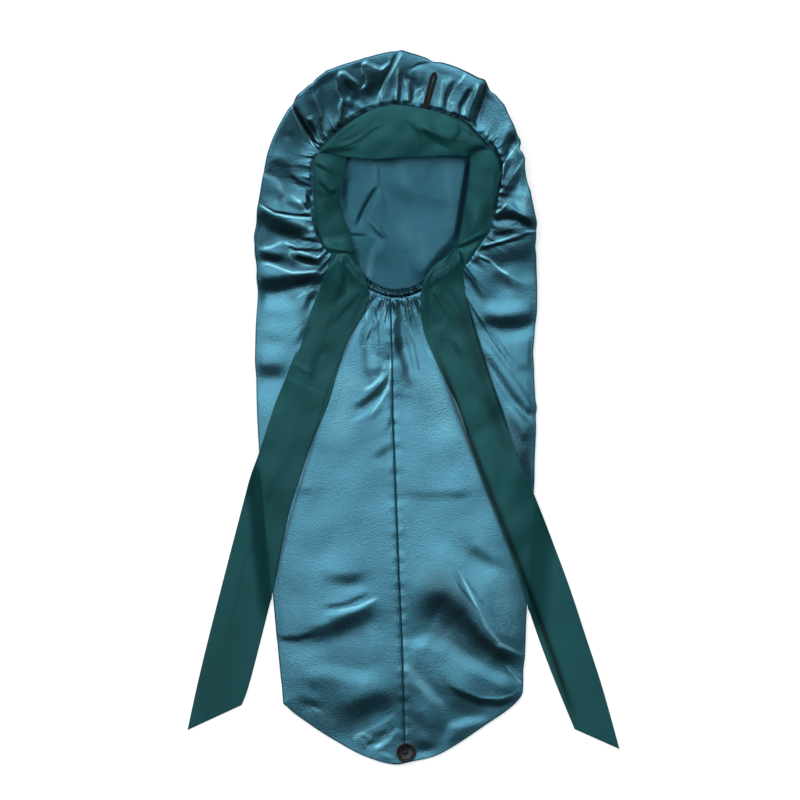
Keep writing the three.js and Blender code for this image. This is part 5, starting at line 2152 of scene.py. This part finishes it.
@dataclass
class NapeElastic:
    """The gathered casing of the nape elastic."""

    middle: Line = (
        (343, 257), (349, 264), (355, 271), (361.5, 277.5), (369, 284.5), (377, 289), (386, 292.3),
        (397, 293.3), (409, 291.8), (419, 287.8), (427, 282.5), (434, 276.5), (442, 271), (450, 265),
        (457, 258),
    )
    half_width: float = 3.9
    half_height: float = 2.3
    pitch: float = 2.6
    rows: int = 420
    sides: int = 26
    grid: np.ndarray = field(default_factory=lambda: np.zeros(0))

    def points(self) -> np.ndarray:
        """The casing's points.

        Returns:
            Points, ring by ring.
        """
        rng = np.random.default_rng(5)
        place = np.linspace(0.0, len(self.middle) - 1.0, self.rows)
        line = spline(row_xy(self.middle), place, False)
        ahead = np.gradient(line, axis=0)
        step = np.linalg.norm(ahead, axis=1)
        ahead /= step[:, None]
        side = np.stack([-ahead[:, 1], ahead[:, 0]], axis=1)
        run = np.cumsum(step)
        jitter = np.interp(run, np.linspace(0.0, run[-1], 44), rng.uniform(-2.4, 2.4, 44))
        puff = np.interp(run, np.linspace(0.0, run[-1], 60), rng.uniform(0.4, 1.7, 60))
        twist = np.interp(run, np.linspace(0.0, run[-1], 50), rng.uniform(-1.6, 1.6, 50))
        beat = 2.0 * math.pi * run / self.pitch + jitter
        angles = full_turn(self.sides)
        rings = []
        for k in range(self.rows):
            lobe = np.cos(beat[k] + 1.3 * np.sin(angles + twist[k]) + 0.7 * np.cos(2.0 * angles + twist[k]))
            fine = np.cos(2.3 * beat[k] + 3.0 * np.cos(angles - twist[k]))
            edge = np.abs(np.cos(angles))
            radius = 1.0 + puff[k] * (lobe * (0.16 + 0.06 * edge) + 0.07 * fine)
            groove = 1.0 - 0.28 * np.exp(-(((angles % math.pi) - math.pi / 2.0) / 0.35) ** 2)
            wide = self.half_width * np.cos(angles) * radius
            high = self.half_height * np.sin(angles) * radius * groove
            centre_z = by_length(line[k : k + 1, 1], SEAM_HEIGHT)[0] + 0.2
            x = line[k, 0] + side[k, 0] * wide
            y = line[k, 1] + side[k, 1] * wide
            rings.append(np.stack([x, y, centre_z + high], axis=1))
        self.grid = np.stack(rings)
        return self.grid

    def build(self, finish: bpy.types.Material) -> None:
        """Makes the casing and dresses it.

        Args:
            finish: Its material.
        """
        piece = grid_piece("nape_casing", self.points(), True)
        close_ends(piece)
        piece.data.materials.append(finish)
        shade(piece, 60.0)
        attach(piece, "root")
        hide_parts("nape_elastic")
        LOG.info("nape casing: %d faces", len(piece.data.polygons))


def close_ends(piece: bpy.types.Object) -> None:
    """Fills the open ends of a tube and turns all its faces out.

    Args:
        piece: The tube.
    """
    shell = bmesh.new()
    shell.from_mesh(piece.data)
    rims = [edge for edge in shell.edges if edge.is_boundary]
    bmesh.ops.holes_fill(shell, edges=rims)
    bmesh.ops.recalc_face_normals(shell, faces=shell.faces)
    shell.to_mesh(piece.data)
    shell.free()


@dataclass
class ButtonLoop:
    """A doubled elastic cord sewn to the band's top."""

    path: Line = (
        (423.9, 108.4), (426, 99.8), (428, 91.8), (430, 84), (431.7, 77.6), (434.2, 74.6), (435.6, 78.2),
        (433.7, 85), (431.5, 92.8), (429.4, 100.6), (427.2, 109),
    )
    diameter: float = 3.2
    rows: int = 150
    sides: int = 16
    feel: float = 1.3
    clear: float = 0.15
    settle_rounds: int = 60
    ribs: float = 0.045

    def build(self, cover: Cover, finish: bpy.types.Material) -> None:
        """Makes the loop, lying on the gathers.

        Args:
            cover: The satin under it.
            finish: Its material.
        """
        radius = 0.5 * self.diameter
        place = np.linspace(0.0, len(self.path) - 1.0, self.rows)
        line = spline(row_xy(self.path), place, False)
        under = cover.heights(line[:, 0], line[:, 1])
        for dx, dy in SIDEWAYS:
            near = line + self.feel * np.array([dx, dy])
            under = np.maximum(under, cover.heights(near[:, 0], near[:, 1]))
        lowest = under + radius + self.clear
        z = lowest
        for _ in range(self.settle_rounds):
            wide = np.pad(z, 1, mode="edge")
            z = np.maximum(lowest, 0.5 * (wide[:-2] + wide[2:]))
        centre = np.concatenate([line, z[:, None]], axis=1)
        ahead = np.gradient(centre, axis=0)
        ahead = unit(ahead)
        side = np.cross(ahead, np.array([0.0, 0.0, 1.0]))
        side = unit(side)
        up = np.cross(side, ahead)
        angles = full_turn(self.sides)
        rings = []
        for k in range(self.rows):
            braid = 1.0 + self.ribs * np.sin(3.0 * angles + k * 0.9) * np.sin(3.0 * angles - k * 0.9)
            ring = centre[k] + radius * 0.97 * (
                side[k] * (np.cos(angles) * braid)[:, None] + up[k] * (np.sin(angles) * braid)[:, None]
            )
            rings.append(ring)
        piece = grid_piece("loop_cord", np.stack(rings), True)
        close_ends(piece)
        piece.data.materials.append(finish)
        shade(piece, 60.0)
        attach(piece, "root")
        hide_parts("button_loop")


@dataclass
class TailButton:
    """A round sew-through button with a raised rim, and its thread."""

    place: tuple[float, float] = (406.0, 752.2)
    radius: float = 10.0
    height: float = 2.6
    rim: float = 2.2
    sink: float = 1.1
    hole: float = 0.95
    spread: float = 1.9

    def build(self, cover: Cover, plastic: bpy.types.Material, thread: bpy.types.Material) -> None:
        """Makes the button and the thread that sews it on.

        Args:
            cover: The satin under it.
            plastic: Finish of the button.
            thread: Finish of the thread.
        """
        centre = row_xy([self.place])[0]
        angles = full_turn(16)
        around = cover.heights(
            centre[0] + 0.7 * self.radius * np.cos(angles), centre[1] + 0.7 * self.radius * np.sin(angles)
        )
        base = float(around.max()) + 0.4
        deselect()
        bpy.ops.mesh.primitive_cylinder_add(
            vertices=72,
            radius=self.radius * MM,
            depth=self.height * MM,
            location=(centre[0] * MM, centre[1] * MM, (base + 0.5 * self.height) * MM),
        )
        button = bpy.context.active_object
        button.name = "tail_button"
        bpy.ops.object.mode_set(mode="EDIT")
        shell = bmesh.from_edit_mesh(button.data)
        for face in shell.faces:
            face.select_set(face.normal.z > 0.9)
        bmesh.update_edit_mesh(button.data)
        bpy.ops.mesh.inset(thickness=self.rim * MM, depth=0.0)
        bpy.ops.mesh.inset(thickness=0.8 * MM, depth=-self.sink * MM)
        bpy.ops.object.mode_set(mode="OBJECT")
        for sx, sy in ((1, 1), (1, -1), (-1, 1), (-1, -1)):
            self.drill(button, centre[0] + sx * self.spread, centre[1] + sy * self.spread, base)
        bevel = button.modifiers.new("worn_edges", "BEVEL")
        bevel.width = 0.55 * MM
        bevel.segments = 4
        bevel.limit_method = "ANGLE"
        bevel.angle_limit = math.radians(30.0)
        apply_modifiers(button)
        settle_place(button)
        button.data.materials.append(plastic)
        shade(button, 35.0)
        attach(button, "root")
        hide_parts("button")
        stitches = self.sew(centre, base, thread)
        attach(stitches, "root")
        LOG.info("button: %d faces, thread: %d faces", len(button.data.polygons), len(stitches.data.polygons))

    def drill(self, button: bpy.types.Object, x: float, y: float, base: float) -> None:
        """Cuts one sewing hole through the button.

        Args:
            button: The button.
            x: X of the hole.
            y: Y of the hole.
            base: Height of the button's underside.
        """
        deselect()
        bpy.ops.mesh.primitive_cylinder_add(
            vertices=24,
            radius=self.hole * MM,
            depth=4.0 * self.height * MM,
            location=(x * MM, y * MM, base * MM),
        )
        drill = bpy.context.active_object
        cut = button.modifiers.new("hole", "BOOLEAN")
        cut.object = drill
        cut.operation = "DIFFERENCE"
        cut.solver = "EXACT"
        choose(button)
        bpy.ops.object.modifier_apply(modifier=cut.name)
        bpy.data.objects.remove(drill, do_unlink=True)
        deselect()

    def sew(self, centre: np.ndarray, base: float, finish: bpy.types.Material) -> bpy.types.Object:
        """Thread in two parallel bars through the holes.

        Args:
            centre: The button's middle.
            base: Height of its underside.
            finish: The thread's material.

        Returns:
            The thread as one object.
        """
        top = base + self.height - self.sink
        strands = []
        for sx in (-1.0, 1.0):
            for shift in (-0.32, 0.32):
                x = centre[0] + sx * self.spread + shift
                turn = np.linspace(0.0, 1.0, 25)
                y = centre[1] + self.spread * np.cos(math.pi * turn)
                z = top + 0.55 * np.sin(math.pi * turn) ** 0.35 - 1.5 * (np.abs(2.0 * turn - 1.0) ** 12)
                strands.append(np.stack([np.full(25, x), y, z], axis=1))
        pieces = []
        for number, line in enumerate(strands):
            ahead = np.gradient(line, axis=0)
            ahead = unit(ahead)
            side = np.array([1.0, 0.0, 0.0])
            angles = full_turn(10)
            rings = [
                line[k]
                + 0.3 * (np.outer(np.cos(angles), side) + np.outer(np.sin(angles), np.cross(ahead[k], side)))
                for k in range(len(line))
            ]
            strand = grid_piece(f"strand_{number}", np.stack(rings), True)
            close_ends(strand)
            pieces.append(strand)
        deselect()
        for strand in pieces:
            strand.select_set(True)
        bpy.context.view_layer.objects.active = pieces[0]
        bpy.ops.object.join()
        thread = pieces[0]
        thread.name = "button_thread"
        thread.data.materials.append(finish)
        shade(thread, 60.0)
        return thread


@dataclass(frozen=True)
class Softbox:
    """A large soft light."""

    name: str
    place: tuple[float, float, float]
    size: float
    power: float
    colour: Colour = (1.0, 1.0, 1.0)

    def build(self) -> None:
        """Hangs the light and points it at the bonnet."""
        data = bpy.data.lights.new(self.name, "AREA")
        data.shape = "SQUARE"
        data.size = self.size
        data.energy = self.power
        data.color = self.colour
        lamp = bpy.data.objects.new(self.name, data)
        lamp.location = self.place
        aim = Vector((0.0, 0.0, 0.0)) - Vector(self.place)
        lamp.rotation_euler = aim.to_track_quat("-Z", "Y").to_euler()
        bpy.context.scene.collection.objects.link(lamp)


@dataclass
class Studio:
    """Camera, floor and lights."""

    middle: tuple[float, float] = (-0.004, 0.007)
    distance: float = 10.0
    lens: float = 450.0
    world: float = 0.035
    lights: tuple[Softbox, ...] = (
        Softbox("key_softbox", (-1.39, 3.21, 9.37), 8.0, 610.0),
        Softbox("fill_softbox", (1.9, -0.4, 1.6), 1.2, 2.0),
    )

    def build(self) -> None:
        """Sets the camera, floor, lights and the light of the room."""
        scene = bpy.context.scene
        data = bpy.data.cameras.new("overhead")
        data.lens = self.lens
        data.clip_end = 40.0
        camera = bpy.data.objects.new("overhead", data)
        camera.location = (*self.middle, self.distance)
        camera.rotation_euler = (0.0, 0.0, 0.0)
        scene.collection.objects.link(camera)
        scene.camera = camera
        for light in self.lights:
            light.build()
        scene.view_settings.view_transform = "Standard"
        world = bpy.data.worlds.new("room")
        world.use_nodes = True
        back = world.node_tree.nodes["Background"]
        back.inputs["Color"].default_value = (1.0, 1.0, 1.0, 1.0)
        back.inputs["Strength"].default_value = self.world
        scene.world = world
        deselect()
        bpy.ops.mesh.primitive_plane_add(size=7.0, location=(0.0, 0.0, 0.0))
        floor = bpy.context.active_object
        floor.name = "floor"
        floor.data.materials.append(FloorFinish().make())
        deselect()


def main() -> None:
    """Builds the bonnet and its studio."""
    logging.basicConfig(level=logging.INFO, format="%(name)s: %(message)s")
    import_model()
    deselect()
    Studio().build()
    satin = SATIN_OUT.make()
    reverse = SATIN_REVERSE.make()
    band_cloth = BAND_SATIN.make()
    elastic = CordFinish().make()
    plastic = ButtonFinish().make()

    body = SatinBody()
    body.build(satin, reverse)
    nape = NapeElastic()
    nape.build(SHADED_GATHERED_SATIN.make())
    band_grids = Headband().build(band_cloth)
    under = [(grid, False) for grid in body.front_grids] + [(nape.grid, True)]
    cover = Cover(under)
    LEFT_TIE.build(cover, band_cloth)
    RIGHT_TIE.build(Cover(under + [(band_grids[-1], False)]), band_cloth)
    ButtonLoop().build(cover, elastic)
    TailButton().build(cover, plastic, elastic)


if __name__ == "__main__":
    main()
